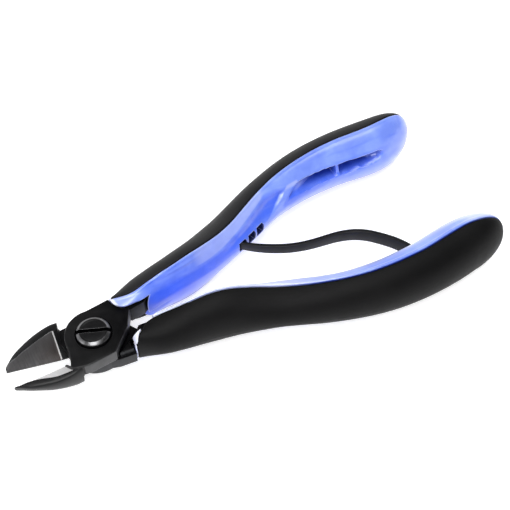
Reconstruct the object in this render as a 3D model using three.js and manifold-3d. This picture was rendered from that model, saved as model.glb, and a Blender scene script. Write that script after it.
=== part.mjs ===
// Flush cutter for electronics bench work: two lapped steel halves on a slotted pivot screw. Each
// half's tang sits in a hard handle core with a soft outer grip, and one S-shaped leaf spring
// holds the handles apart.
// Millimetres. Origin on the pivot axis, level with the underside of the head. +X runs to the
// cutting tips, +Z along the pivot to the screw head, +Y to half B's handle. The jaws are open.
// Each solid is drawn about the parting plane of the lap joint; the meshes are then raised.
import * as THREE from "three";
import { mergeVertices } from "three/addons/utils/BufferGeometryUtils.js";
import Module from "manifold-3d";

// ---------------------------------------------------------------- shared dimensions
const OPEN_DEG = 6.17; // each half stands this far open from the closed position
const HEAD_HALF_T = 4.0; // half thickness of the steel head
const LAP_GAP = 0.1; // each lapped plate stops this far from the parting plane
const TANG_TOP = 2.0; // the tang reaches this far past the parting plane
const TANG_HIDDEN = 2.0; // half thickness of the tang inside the core
const COUNTERBORE_Z = 2.8; // floor of the screw head's seat in half A
const CUT_REACH = 20; // cutting solids run this far from the parting plane

// ---------------------------------------------------------------- solid tools
const wasm = await Module();
wasm.setup();
const { Manifold, Mesh } = wasm;
const WELD_DISTANCE = 1e-4;

const rad = (degrees) => (degrees * Math.PI) / 180;
const toVectors = (points) => points.map(([x, y]) => new THREE.Vector2(x, y));

// Evenly spaced values, both ends included.
const spread = (from, to, count) =>
  Array.from({ length: count }, (_, i) => from + ((to - from) * i) / (count - 1));

// Welds a geometry into a solid, turned inside out if its faces look inward.
const toSolid = (geometry) => {
  const loose = geometry.index ? geometry.toNonIndexed() : geometry;
  const bare = new THREE.BufferGeometry();
  bare.setAttribute("position", loose.getAttribute("position"));
  const welded = mergeVertices(bare, WELD_DISTANCE);
  const corners = welded.index.array;
  const triangles = [];
  for (let i = 0; i < corners.length; i += 3) {
    const [a, b, c] = corners.slice(i, i + 3);
    if (a !== b && b !== c && a !== c) triangles.push([a, b, c]);
  }
  const build = (faces) =>
    new Manifold(
      new Mesh({
        numProp: 3,
        vertProperties: welded.attributes.position.array,
        triVerts: new Uint32Array(faces.flat()),
      }),
    );
  const solid = build(triangles);
  return solid.volume() < 0 ? build(triangles.map(([a, b, c]) => [a, c, b])) : solid;
};

const toGeometry = (solid) => {
  const mesh = solid.getMesh();
  const geometry = new THREE.BufferGeometry();
  geometry.setAttribute("position", new THREE.BufferAttribute(mesh.vertProperties, 3));
  geometry.setIndex(new THREE.BufferAttribute(mesh.triVerts, 1));
  geometry.computeVertexNormals();
  return geometry;
};

// A loft section: its outline in flat coordinates, and the same points placed in space.
const makeSection = (flat, place) => ({ flat, ring: flat.map(place) });

// Skins sections of equal point count; each end is capped by triangulating its flat outline.
const loft = (sections) => {
  const positions = [];
  const addTriangle = (a, b, c) => positions.push(...a, ...b, ...c);
  const count = sections[0].ring.length;
  for (let i = 0; i + 1 < sections.length; i++) {
    const here = sections[i].ring;
    const next = sections[i + 1].ring;
    for (let j = 0; j < count; j++) {
      const k = (j + 1) % count;
      addTriangle(here[j], next[j], next[k]);
      addTriangle(here[j], next[k], here[k]);
    }
  }
  // the triangulation always turns anticlockwise in flat coordinates
  const addCap = ({ ring, flat }, reversed) => {
    for (const [a, b, c] of THREE.ShapeUtils.triangulateShape(toVectors(flat), [])) {
      if (reversed) addTriangle(ring[a], ring[c], ring[b]);
      else addTriangle(ring[a], ring[b], ring[c]);
    }
  };
  const clockwise = THREE.ShapeUtils.area(toVectors(sections[0].flat)) < 0;
  addCap(sections[0], clockwise);
  addCap(sections[sections.length - 1], !clockwise);
  const geometry = new THREE.BufferGeometry();
  geometry.setAttribute("position", new THREE.Float32BufferAttribute(positions, 3));
  return toSolid(geometry);
};

// Plan outline extruded from z0 to z1; a bevel stays inside the outline and the height.
const prism = (points, z0, z1, bevel = 0) => {
  const geometry = new THREE.ExtrudeGeometry(new THREE.Shape(toVectors(points)), {
    depth: z1 - z0 - 2 * bevel,
    bevelEnabled: bevel > 0,
    bevelThickness: bevel,
    bevelSize: bevel,
    bevelOffset: -bevel,
    bevelSegments: 2,
  });
  geometry.translate(0, 0, z0 + bevel);
  return toSolid(geometry);
};

// Profile of [radius, z] points turned about the pivot axis.
const turned = (profile, segments) => {
  const geometry = new THREE.LatheGeometry(toVectors(profile), segments);
  geometry.rotateX(Math.PI / 2);
  return toSolid(geometry);
};
const disc = (radius, z0, z1) => turned([[0, z0], [radius, z0], [radius, z1], [0, z1]], 64);

// Turns a solid over about the X axis.
const flip = (solid) => solid.rotate([180, 0, 0]);

// Moves each corner of an outline outward along its mean edge normal.
const grown = (points, distance) => {
  const count = points.length;
  const turn = THREE.ShapeUtils.area(toVectors(points)) > 0 ? 1 : -1;
  const edgeNormal = (from, to) => {
    const normal = [to[1] - from[1], from[0] - to[0]];
    const length = Math.hypot(...normal);
    return normal.map((v) => v / length);
  };
  return points.map((point, i) => {
    const before = edgeNormal(points[(i + count - 1) % count], point);
    const after = edgeNormal(point, points[(i + 1) % count]);
    const sum = [before[0] + after[0], before[1] + after[1]];
    const length = Math.hypot(...sum);
    const scale = (2 / length / length) * distance * turn;
    return [point[0] + sum[0] * scale, point[1] + sum[1] * scale];
  });
};

// Smooth (cubic Hermite) curve of valueOf(row) over rows sorted by falling x.
const curve = (rows, valueOf) => {
  const xs = rows.map((row) => row.x);
  const values = rows.map(valueOf);
  const last = xs.length - 1;
  const slopes = values.map((_, i) => {
    const a = Math.max(i - 1, 0);
    const b = Math.min(i + 1, last);
    return (values[b] - values[a]) / (xs[b] - xs[a]);
  });
  return (x) => {
    let i = 0;
    while (i < last - 1 && x < xs[i + 1]) i++;
    const span = xs[i + 1] - xs[i];
    const t = Math.min(Math.max((x - xs[i]) / span, 0), 1);
    const t2 = t * t;
    const t3 = t2 * t;
    return (
      (2 * t3 - 3 * t2 + 1) * values[i] +
      (t3 - 2 * t2 + t) * span * slopes[i] +
      (-2 * t3 + 3 * t2) * values[i + 1] +
      (t3 - t2) * span * slopes[i + 1]
    );
  };
};

// ---------------------------------------------------------------- handle form
// Drawn on the +Y side in the closed frame; outward is away from the closing plane y = 0.
// x: along the tool; crest: distance of the section's crest, where soft grip meets hard core, from
// the closing plane; outer, inner: half widths outward and inward of the crest; halfT: half
// thickness; outerFull, innerFull: fullness of the outer and inner halves of the section.
const HANDLE = [
  // x, crest, outer, inner, halfT, outerFull, innerFull
  [-9.1, 6.3, 1.35, 5.15, 4.85, 2.4, 4.5],
  [-10.2, 5.9, 2.25, 4.8, 5.1, 2.4, 4.2],
  [-11.6, 5.2, 3.45, 4.2, 5.35, 2.35, 3.95],
  [-13.1, 4.48, 4.7, 3.5, 5.68, 2.3, 3.6],
  [-14.7, 4.02, 5.72, 3.1, 6.02, 2.2, 3.1],
  [-16.6, 3.86, 6.45, 3.0, 6.42, 2.1, 2.5],
  [-18.8, 3.86, 6.88, 3.08, 6.9, 2.04, 2.0],
  [-21.2, 3.86, 7.08, 3.14, 7.42, 2.0, 1.74],
  [-24.0, 3.8, 7.25, 3.1, 8.05, 2.0, 1.62],
  [-28.5, 3.65, 7.6, 2.95, 8.75, 2.0, 1.58],
  [-33.0, 3.75, 7.85, 3.0, 9.25, 2.0, 1.5],
  [-38.5, 4.3, 8.07, 3.3, 8.95, 2.0, 1.45],
  [-45.1, 5.75, 8.3, 3.85, 7.75, 2.0, 1.58],
  [-51.5, 7.85, 7.9, 4.8, 6.95, 2.0, 1.76],
  [-57.5, 10.1, 7.45, 5.5, 7.1, 2.0, 1.8],
  [-63.5, 12.1, 7.2, 5.85, 7.6, 2.0, 1.7],
  [-69.8, 13.7, 7.05, 6.1, 8.1, 2.0, 1.68],
  [-76.0, 14.65, 7.25, 6.55, 8.5, 2.0, 1.7],
  [-82.1, 15.0, 7.58, 6.78, 8.85, 2.0, 1.72],
  [-88.3, 14.85, 7.8, 6.9, 9.2, 2.0, 1.78],
  [-94.4, 14.25, 8.0, 6.9, 9.42, 2.0, 1.85],
  [-100.0, 13.2, 8.3, 6.95, 9.65, 2.0, 1.88],
  [-105.0, 12.25, 8.2, 7.05, 9.9, 2.0, 1.9],
  [-109.3, 11.7, 7.6, 6.9, 10.15, 2.0, 1.88],
  [-113.0, 11.6, 6.85, 6.4, 10.0, 2.0, 1.9],
  [-116.3, 11.6, 5.7, 5.4, 9.2, 2.0, 1.95],
  [-118.9, 11.65, 4.35, 4.2, 7.65, 2.0, 2.0],
  [-120.7, 11.75, 2.95, 2.85, 5.4, 2.0, 2.0],
  [-121.7, 11.8, 1.5, 1.45, 2.8, 2.0, 2.0],
].map(([x, crest, outer, inner, halfT, outerFull, innerFull]) => ({
  x, crest, outer, inner, halfT, outerFull, innerFull,
}));
const FRONT_X = HANDLE[0].x;
const TAIL_X = HANDLE[HANDLE.length - 1].x;
const TILT_FRONT_X = -9; // sections stand square to the tool here
const TILT_FRONT_L = 16; // length over which they turn square to the handle
const TILT_TAIL_L = 14; // length over which they turn back towards the tail
const SLOPE_REACH = 0.5; // slopes are taken over this distance to each side

const GRIP_T = 1.7; // soft grip thickness
const GRIP_SHARE = 0.42; // the grip takes at most this share of a small section
const GRIP_GAP = 0.08; // grip to core, under the grip
const GRIP_FRONT_X = -9.9; // the grip starts behind this
const COLLAR_INSET = 0.02; // outer side of the core in front of the grip
const SEAM_ANGLE = rad(90); // the grip ends at the crest of the section
const SEAM_GAP = 0.25; // grip to core, along the seam
const SEAM_GAP_FACTOR = 1.2; // widens the angle worked out from the gap
const SEAM_STEP_SHARE = 0.6; // the gap takes at most this share of one angle step
const OUTER_POINTS = 17;
const INNER_POINTS = 17;

const crestY = curve(HANDLE, (row) => row.crest);
const middleY = curve(HANDLE, (row) => row.crest + (row.outer - row.inner) / 2);
const innerWidth = curve(HANDLE, (row) => row.inner);
const innerY = (x) => crestY(x) - innerWidth(x);

// A point of the section at an angle from the outward side, drawn in by the inset.
const sectionPoint = (row, angle, inset) => {
  const cosine = Math.cos(angle);
  const sine = Math.sin(angle);
  const outward = cosine >= 0;
  const power = 2 / (outward ? row.outerFull : row.innerFull);
  const width = (outward ? row.outer : row.inner) - inset;
  return [
    Math.sign(cosine) * Math.abs(cosine) ** power * width,
    Math.sign(sine) * Math.abs(sine) ** power * (row.halfT - inset),
  ];
};

// Places section points at the row's station. The tilt fades out at the front and the tail.
const handleSection = (row, flat) => {
  const { x, crest } = row;
  const x0 = Math.min(x + SLOPE_REACH, FRONT_X);
  const x1 = Math.max(x - SLOPE_REACH, TAIL_X);
  const slope = (middleY(x0) - middleY(x1)) / (x0 - x1);
  const share = (v) => Math.min(1, Math.max(0, v));
  const tilt =
    slope * share((TILT_FRONT_X - x) / TILT_FRONT_L) * share((x - TAIL_X) / TILT_TAIL_L);
  const length = Math.hypot(1, tilt);
  return makeSection(flat, ([u, z]) => [x - (tilt / length) * u, crest + u / length, z]);
};

const gripInset = (row) => Math.min(GRIP_T, GRIP_SHARE * Math.min(row.outer, row.halfT));

const coreBlank = () => {
  const outerAngles = spread(-SEAM_ANGLE, SEAM_ANGLE, OUTER_POINTS);
  const innerAngles = spread(SEAM_ANGLE, 2 * Math.PI - SEAM_ANGLE, INNER_POINTS);
  return loft(
    HANDLE.map((row) => {
      const inset = row.x <= GRIP_FRONT_X ? gripInset(row) : COLLAR_INSET;
      return handleSection(row, [
        ...outerAngles.map((angle) => sectionPoint(row, angle, inset)),
        ...innerAngles.map((angle) => sectionPoint(row, angle, 0)),
      ]);
    }),
  );
};

const gripB = () => {
  const maxTrim = (SEAM_STEP_SHARE * Math.PI) / (OUTER_POINTS - 1);
  const rows = HANDLE.filter((row) => row.x <= GRIP_FRONT_X);
  return loft(
    rows.map((row) => {
      const angles = spread(-SEAM_ANGLE, SEAM_ANGLE, OUTER_POINTS);
      const trim = Math.min((SEAM_GAP / row.outer) * SEAM_GAP_FACTOR, maxTrim);
      angles[0] += trim;
      angles[OUTER_POINTS - 1] -= trim;
      const underside = gripInset(row) - GRIP_GAP;
      const outside = angles.map((angle) => sectionPoint(row, angle, 0));
      const inside = angles.map((angle) => sectionPoint(row, angle, underside)).reverse();
      return handleSection(row, [...outside, ...inside]);
    }),
  );
};

// ---------------------------------------------------------------- lapped plates and tangs
// Plans of half B in the closed frame, as [x, y].
const DISC_R = 8.05; // round front of each lapped plate
const HEAD_HALF_W = 7.8; // half width of the head
const PLATE_BEVEL = 0.6;
const STEP = 0.35; // the plate is this much thinner where the core grips it
const STEP_Z = -HEAD_HALF_T + STEP;

// Plate outline; the corners of its two long edges can be replaced.
const plateOutline = ({
  plusY = [[-4.2, HEAD_HALF_W - 0.1], [-8.6, 7.6]],
  minusY = [[-3.04, -HEAD_HALF_W], [5.2, -HEAD_HALF_W], [7.4, -7.55]],
} = {}) => [
  ...spread(rad(2), rad(104), 18).map((t) => [DISC_R * Math.cos(t), DISC_R * Math.sin(t)]),
  ...plusY,
  [-8.6, 5.5], [-12.0, 4.9], [-12.0, 0.9], [-8.94, -3.25],
  ...minusY,
  [8.6, -7.2], [10.1, -6.6], [10.3, -5.5], [9.38, -3.72], [8.61, -1.67], [8.25, -0.3],
];
// Each plate is wider along one edge, which is its +Y edge once half A is turned over.
const PLATE_A = plateOutline({ minusY: [[-1.9, -8.65], [5.2, -8.25], [7.4, -7.8]] });
const PLATE_B = plateOutline({ plusY: [[-4.2, 8.3], [-8.6, 8.35]] });

// Edge shared by the front of the tang and the plate below it.
const TANG_NECK = [
  [-12.3, 0.95], [-16.6, 0.95], [-19.5, 2.5], [-19.5, 6.4], [-14.0, 5.9], [-8.6, 5.5],
];
// Region behind the other half's shoulder, where this half is thicker than its lapped plate.
const TANG_FRONT = [
  [-4.7, HEAD_HALF_W - 0.15], [-9.55, 4.2], ...TANG_NECK, [-8.6, HEAD_HALF_W - 0.15],
];
const PLATE_REAR = [[-8.0, 2.0], ...TANG_NECK, [-8.0, 5.5]];
const TANG_REAR = [
  [-17.0, 2.3], [-19.0, 2.6], [-26.0, 3.2], [-33.0, 3.6], [-45.0, 5.6],
  [-57.0, 9.2], [-68.0, 12.3], [-68.9, 13.9], [-68.0, 15.2], [-57.0, 12.4],
  [-45.0, 8.8], [-33.0, 7.0], [-26.0, 6.6], [-17.0, 6.3],
];
// Plan of the handle core's front, a little enlarged, where the plate is stepped.
const UNDER_CORE = [
  [-8.8, 20], [-8.8, 4.95], [-10.3, 2.45], [-12.3, 1.6], [-30, 0.9], [-30, 20],
];
const BELOW_PARTING = [[-40, -40], [40, -40], [40, 40], [-40, 40]]; // wider than any plate

// A lapped plate with its tang, without the jaw.
const plateAndTang = (outline) =>
  prism(outline, -HEAD_HALF_T, HEAD_HALF_T, PLATE_BEVEL)
    .intersect(prism(BELOW_PARTING, -CUT_REACH, -LAP_GAP))
    .subtract(prism(UNDER_CORE, -CUT_REACH, STEP_Z))
    .add(prism(TANG_FRONT, STEP_Z, TANG_TOP))
    .add(prism(PLATE_REAR, STEP_Z, -LAP_GAP))
    .add(prism(TANG_REAR, -TANG_HIDDEN, TANG_HIDDEN));

// ---------------------------------------------------------------- jaws
const EDGE_Y = 0.07; // cutting edge to the closing plane
const BEVEL_BACK_X = 10.2; // where the ground cutting bevel begins
const BEVEL_STEP_HALF_L = 0.03; // half length of the step down to the bevel
const BEVEL_PROUD = 0.35; // the jaw behind the bevel stands this proud of it
const WALL_X0 = 9.6; // jaw back wall of half B: x = WALL_X0 + WALL_LEAN * y
const WALL_LEAN = 0.18;

// Jaw sections; each y is a distance from the closing plane.
const JAW = [
  // x, edge z, rim y, z, land y, z, flank y, z, lower flank y, z, heel y, z
  [7.9, -3.5, 6.5, 3.75, 6.9, 3.8, 7.72, 2.9, 7.72, -2.9, 6.6, -3.8],
  [8.6, -3.42, 6.0, 3.78, 6.75, 3.8, 7.78, 2.85, 7.78, -2.8, 6.6, -3.75],
  [BEVEL_BACK_X, -3.28, 5.55, 3.75, 6.6, 3.75, 7.74, 2.7, 7.72, -2.7, 6.5, -3.65],
  [12.2, -2.9, 5.05, 3.52, 6.2, 3.5, 7.38, 2.35, 7.32, -2.45, 6.0, -3.4],
  [14.7, -2.4, 4.4, 3.25, 5.45, 3.15, 6.62, 1.95, 6.5, -2.1, 5.2, -3.05],
  [17.2, -1.88, 3.6, 2.95, 4.45, 2.75, 5.42, 1.6, 5.3, -1.75, 4.2, -2.65],
  [19.7, -1.38, 2.75, 2.62, 3.25, 2.4, 3.92, 1.35, 3.8, -1.4, 3.0, -2.2],
  [21.9, -0.94, 1.95, 2.3, 2.25, 2.1, 2.6, 1.2, 2.5, -1.1, 1.95, -1.75],
  [23.7, -0.58, 1.15, 1.95, 1.3, 1.75, 1.5, 1.0, 1.42, -0.85, 1.1, -1.35],
  [24.7, -0.38, 0.62, 1.5, 0.7, 1.35, 0.85, 0.8, 0.8, -0.6, 0.6, -0.95],
  [25.0, -0.3, 0.4, 0.9, 0.45, 0.8, 0.52, 0.5, 0.5, -0.42, 0.38, -0.6],
];

const jawRowAt = (x) => {
  let i = 0;
  while (i < JAW.length - 2 && x > JAW[i + 1][0]) i++;
  const t = (x - JAW[i][0]) / (JAW[i + 1][0] - JAW[i][0]);
  return JAW[i].map((value, k) => value + (JAW[i + 1][k] - value) * t);
};

const jawSection = (x, proud) => {
  const [, edgeZ, rimY, rimZ, landY, landZ, flankY, flankZ, ...lower] = jawRowAt(x);
  const [lowFlankY, lowFlankZ, heelY, heelZ] = lower;
  const flat = [
    [EDGE_Y, edgeZ],
    [EDGE_Y + proud * 0.1, edgeZ + 0.2 + proud * 1.6],
    [rimY - proud, rimZ],
    [landY, landZ],
    // rounds the corner between land and flank
    [landY + (flankY - landY) * 0.72, landZ - (landZ - flankZ) * 0.34],
    [flankY, flankZ],
    [lowFlankY, lowFlankZ],
    [heelY, heelZ],
  ];
  return makeSection(flat, ([y, z]) => [x, -y, z]);
};

// Half B's jaw, on the -Y side.
const jawSolid = () => {
  const behindBevel = [JAW[0][0], JAW[1][0], BEVEL_BACK_X - BEVEL_STEP_HALF_L];
  const alongBevel = [
    BEVEL_BACK_X + BEVEL_STEP_HALF_L,
    ...JAW.map(([x]) => x).filter((x) => x > BEVEL_BACK_X),
  ];
  return loft([
    ...behindBevel.map((x) => jawSection(x, BEVEL_PROUD)),
    ...alongBevel.map((x) => jawSection(x, 0)),
  ]);
};

// Room for the other half's plate: everything behind the wall, from this plate's face upward.
const behindJawWall = () => {
  const y0 = -9.5;
  const y1 = 1;
  const wall = [y1, y0].map((y) => [WALL_X0 + WALL_LEAN * y, y]);
  return prism([...wall, [0, y0], [0, y1]], -LAP_GAP, CUT_REACH);
};

// ---------------------------------------------------------------- pivot screw
const SCREW = {
  shankR: 3.0,
  headR: 4.75,
  flatR: 3.75, // flat top, inside the head's chamfer
  topZ: 5.55,
  headChamferH: 0.8,
  endChamfer: 0.35,
  seatGap: 0.05, // under the head
  slotW: 1.0,
  slotDepth: 1.0,
  slotHalfL: 8, // runs out past the head
  slotDeg: -24.2,
};
const SCREW_BORE_R = SCREW.shankR + 0.055;
const COUNTERBORE_R = 5.2;

const screwSolid = () => {
  const { shankR, headR, topZ, endChamfer, slotHalfL } = SCREW;
  const headZ = COUNTERBORE_Z + SCREW.seatGap;
  const body = turned(
    [
      [0, -HEAD_HALF_T],
      [shankR - endChamfer, -HEAD_HALF_T],
      [shankR, -HEAD_HALF_T + endChamfer],
      [shankR, headZ],
      [headR, headZ],
      [headR, topZ - SCREW.headChamferH],
      [SCREW.flatR, topZ],
      [0, topZ],
    ],
    48,
  );
  const halfW = SCREW.slotW / 2;
  const slotPlan = [
    [-slotHalfL, -halfW], [slotHalfL, -halfW], [slotHalfL, halfW], [-slotHalfL, halfW],
  ];
  const slot = prism(slotPlan, topZ - SCREW.slotDepth, CUT_REACH);
  return body.subtract(slot.rotate([0, 0, SCREW.slotDeg]));
};

// ---------------------------------------------------------------- steel halves
const bore = () => disc(SCREW_BORE_R, -CUT_REACH, CUT_REACH);

const steelB = () =>
  plateAndTang(PLATE_B).add(jawSolid().subtract(behindJawWall())).subtract(bore());

// Half A's plate and tang are turned over, but its jaw is a mirror image of half B's, so that
// both flush sides face the same way.
const steelA = () => {
  const jaw = jawSolid().mirror([0, 1, 0]).subtract(flip(behindJawWall()));
  const screwSeat = disc(COUNTERBORE_R, COUNTERBORE_Z, CUT_REACH);
  return flip(plateAndTang(PLATE_A)).add(jaw).subtract(bore()).subtract(screwSeat);
};

// ---------------------------------------------------------------- handle core
const CORE_FIT = 0.12; // core cavity to tang
const POCKET_X = [-52.0, -56.0, -60.0]; // three spring seats, along the closed handle
const POCKET_L = 2.7;
const POCKET_H = 3.5;
const POCKET_DEPTH = 2.6;
// Narrow channel in the inner face, in two lengths with a rib between them.
const CHANNELS_X = [[-74.6, -91.5], [-93.1, -108.2]];
const CHANNEL_Z = [-4.8, -0.7]; // lower and upper wall on half B; half A is turned over
const CHANNEL_DEPTH = 3.4;
const CUT_PROUD = 3; // pocket and channel cuts start this far outside the inner face

// Region in front of the collar, and the window that bares the tang beside the closing plane.
const FRONT_TRIM = [
  [20, 20], [-9.0, 20], [-9.0, 5.1], [-10.4, 2.7],
  [-12.4, 1.9], [-17.0, 1.25], [-17.0, -5], [20, -5],
];

const cavity = () => {
  const floorZ = -HEAD_HALF_T - CORE_FIT;
  const rearZ = TANG_HIDDEN + CORE_FIT;
  return prism(grown(TANG_FRONT, CORE_FIT), floorZ, TANG_TOP + CORE_FIT)
    .add(prism(grown(TANG_REAR, CORE_FIT), -rearZ, rearZ))
    .add(prism(grown(plateOutline(), CORE_FIT), floorZ, CORE_FIT));
};

// A blind rectangular seat sunk square into the inner face.
const pocket = (x) => {
  const y = innerY(x);
  const angle = Math.atan(innerY(x + SLOPE_REACH) - innerY(x - SLOPE_REACH));
  const cosine = Math.cos(angle);
  const sine = Math.sin(angle);
  const halfL = POCKET_L / 2;
  const plan = [
    [-halfL, -CUT_PROUD], [halfL, -CUT_PROUD], [halfL, POCKET_DEPTH], [-halfL, POCKET_DEPTH],
  ].map(([u, v]) => [x + u * cosine - v * sine, y + u * sine + v * cosine]);
  return prism(plan, -POCKET_H / 2, POCKET_H / 2);
};

const channel = ([x0, x1]) => {
  const xs = spread(x0, x1, 7);
  const near = xs.map((x) => [x, innerY(x) - CUT_PROUD]);
  const far = xs.map((x) => [x, innerY(x) + CHANNEL_DEPTH]).reverse();
  return prism([...near, ...far], ...CHANNEL_Z);
};

const coreWithChannels = () => {
  const core = coreBlank()
    .subtract(cavity())
    .subtract(prism(FRONT_TRIM, -CUT_REACH, CUT_REACH));
  return CHANNELS_X.reduce((solid, ends) => solid.subtract(channel(ends)), core);
};
const coreWithPockets = () =>
  POCKET_X.reduce((solid, x) => solid.subtract(pocket(x)), coreWithChannels());

// ---------------------------------------------------------------- leaf spring
const SPRING_H = 3.1; // width of the leaf at its seat, along the pivot axis
const SPRING_H_REAR = 4.4; // its width at the anchored end
const SPRING_T = 1.2; // full thickness of the leaf
const SPRING_HALF_T = [0.32, 0.42, 0.5, 0.56, SPRING_T / 2]; // growing from the seat
const STEPS_PER_HALF_T = 3; // path steps from one half thickness to the next
const SPRING_STEPS = 44;
const TAPER_X = { seatEnd: -40, from: -57, to: -92, anchorEnd: -100 };
const SPRING_ROOM = { around: 0.12, alongPivot: 0.15 }; // clearance in the cores
// Centreline [x, y], open position, from the seat in half A's core to the anchor in half B's.
const SPRING_PATH = [
  [-50.15, -9.9], [-51.6, -8.7], [-53.4, -7.0], [-55.6, -5.3], [-59.0, -3.1],
  [-62.9, -1.15], [-67.2, 0.15], [-71.8, 0.95], [-76.4, 1.72], [-80.6, 3.05],
  [-84.5, 5.4], [-87.8, 8.9], [-90.5, 12.6], [-92.4, 16.6], [-93.6, 20.4],
];

const springHalfT = (step) => {
  const last = SPRING_HALF_T.length - 1;
  const place = Math.min(step / STEPS_PER_HALF_T, last);
  const i = Math.floor(place);
  const next = SPRING_HALF_T[Math.min(i + 1, last)];
  return SPRING_HALF_T[i] + (next - SPRING_HALF_T[i]) * (place - i);
};

const springOutline = (clearance) => {
  const path = new THREE.CatmullRomCurve3(
    SPRING_PATH.map(([x, y]) => new THREE.Vector3(x, y, 0)),
    false,
    "centripetal",
  );
  const left = [];
  const right = [];
  for (let i = 0; i <= SPRING_STEPS; i++) {
    const point = path.getPointAt(i / SPRING_STEPS);
    const tangent = path.getTangentAt(i / SPRING_STEPS);
    const offset = springHalfT(i) + clearance;
    left.push([point.x - tangent.y * offset, point.y + tangent.x * offset]);
    right.unshift([point.x + tangent.y * offset, point.y - tangent.x * offset]);
  }
  return [...left, ...right];
};

// The leaf widens along x from its seat to its anchored end.
const leafSolid = ({ around, alongPivot }) => {
  const seatHalfH = SPRING_H / 2 + alongPivot;
  const rearHalfH = SPRING_H_REAR / 2 + alongPivot;
  const upper = [
    [TAPER_X.anchorEnd, rearHalfH],
    [TAPER_X.to, rearHalfH],
    [TAPER_X.from, seatHalfH],
    [TAPER_X.seatEnd, seatHalfH],
  ];
  const lower = upper.map(([x, z]) => [x, -z]).reverse();
  const taper = prism([...lower, ...upper], -60, 60).rotate([90, 0, 0]);
  return prism(springOutline(around), -rearHalfH, rearHalfH).intersect(taper);
};

// ---------------------------------------------------------------- assembly
const openA = (solid) => solid.rotate([0, 0, OPEN_DEG]);
const openB = (solid) => solid.rotate([0, 0, -OPEN_DEG]);
const springRoom = leafSolid(SPRING_ROOM);

const material = (color, roughness, metalness) =>
  new THREE.MeshStandardMaterial({ color, roughness, metalness });
// colour, roughness, metalness
const steel = material(0x1a1a1c, 0.45, 0.9);
const screwSteel = material(0x202022, 0.4, 0.9);
const hardPlastic = material(0x4f78f0, 0.35, 0);
const softPlastic = material(0x232326, 0.8, 0);
const springSteel = material(0x2b2b30, 0.4, 0.6);

const parts = [
  ["half_a_steel", openA(steelA()), steel],
  ["half_b_steel", openB(steelB()), steel],
  ["pivot_screw", screwSolid(), screwSteel],
  ["core_a", openA(flip(coreWithPockets())).subtract(springRoom), hardPlastic],
  ["core_b", openB(coreWithChannels()).subtract(springRoom), hardPlastic],
  ["grip_a", openA(flip(gripB())), softPlastic],
  ["grip_b", openB(gripB()), softPlastic],
  ["leaf_spring", leafSolid({ around: 0, alongPivot: 0 }), springSteel],
];

const tool = new THREE.Group();
for (const [name, solid, finish] of parts) {
  const mesh = new THREE.Mesh(toGeometry(solid), finish);
  mesh.name = name;
  mesh.position.z = HEAD_HALF_T;
  tool.add(mesh);
}
export default tool;
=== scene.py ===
"""Flush cutter: two crossed halves with two-part handles, a pivot screw and a leaf spring.

The pivot axis is Z through the origin, the jaws point to +X and the handles to -X. Lengths are in
millimetres in half B's closed frame, with its handle on +Y, its jaw on -Y and the lap joint's
parting plane at z = 0. Half A is half B turned over about X. At the end each half is turned open
about the pivot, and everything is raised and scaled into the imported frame, in metres.
"""

import math
from contextlib import contextmanager
from functools import partial

import bmesh
import bpy
import numpy as np
from mathutils import Matrix, Vector


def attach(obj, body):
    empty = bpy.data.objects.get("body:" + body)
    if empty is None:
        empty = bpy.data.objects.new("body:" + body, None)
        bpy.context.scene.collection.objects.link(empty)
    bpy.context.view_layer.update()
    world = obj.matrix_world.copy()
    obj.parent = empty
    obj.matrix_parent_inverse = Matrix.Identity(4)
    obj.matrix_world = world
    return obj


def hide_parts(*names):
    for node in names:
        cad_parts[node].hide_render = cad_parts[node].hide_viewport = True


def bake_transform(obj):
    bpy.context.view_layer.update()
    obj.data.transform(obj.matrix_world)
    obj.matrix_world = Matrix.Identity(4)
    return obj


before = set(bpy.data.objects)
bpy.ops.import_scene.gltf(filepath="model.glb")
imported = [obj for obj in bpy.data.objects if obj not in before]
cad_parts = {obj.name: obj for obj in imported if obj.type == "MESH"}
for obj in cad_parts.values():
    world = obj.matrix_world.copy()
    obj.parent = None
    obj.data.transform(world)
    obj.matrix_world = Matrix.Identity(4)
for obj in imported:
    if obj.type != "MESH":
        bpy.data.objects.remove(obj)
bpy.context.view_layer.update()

MM = 0.001
OPEN = math.radians(6.17)
HALF_TURN = {"A": OPEN, "B": -OPEN}
LIFT = 4.0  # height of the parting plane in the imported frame
FAR = 20.0  # reach of cutters that pass right through
scene = bpy.context.scene

# ------------------------------------------------------------------ curves and masks


def smoothstep(t):
    t = np.clip(t, 0.0, 1.0)
    return t * t * (3 - 2 * t)


def box_mask(value, low, high, edge_low, edge_high):
    """1 between low and high, with soft edges of the given widths inside them."""
    return smoothstep((value - low) / edge_low) * smoothstep((high - value) / edge_high)


def quarter_round(t):
    """Falls from 1 at t = 0 to 0 at t = 1 along a quarter circle."""
    return 1 - np.sqrt(np.clip(1 - (1 - np.clip(t, 0, 1)) ** 2, 0, 1))


def hermite(x, xs, ys):
    """Cubic through rising xs with central-difference slopes, level beyond the ends."""
    slopes = np.gradient(ys, xs)
    slopes[1:-1] = (ys[2:] - ys[:-2]) / (xs[2:] - xs[:-2])
    i = np.clip(np.searchsorted(xs, x) - 1, 0, len(xs) - 2)
    width = xs[i + 1] - xs[i]
    t = np.clip((x - xs[i]) / width, 0, 1)
    return (
        (2 * t**3 - 3 * t**2 + 1) * ys[i]
        + (t**3 - 2 * t**2 + t) * width * slopes[i]
        + (-2 * t**3 + 3 * t**2) * ys[i + 1]
        + (t**3 - t**2) * width * slopes[i + 1]
    )


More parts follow.
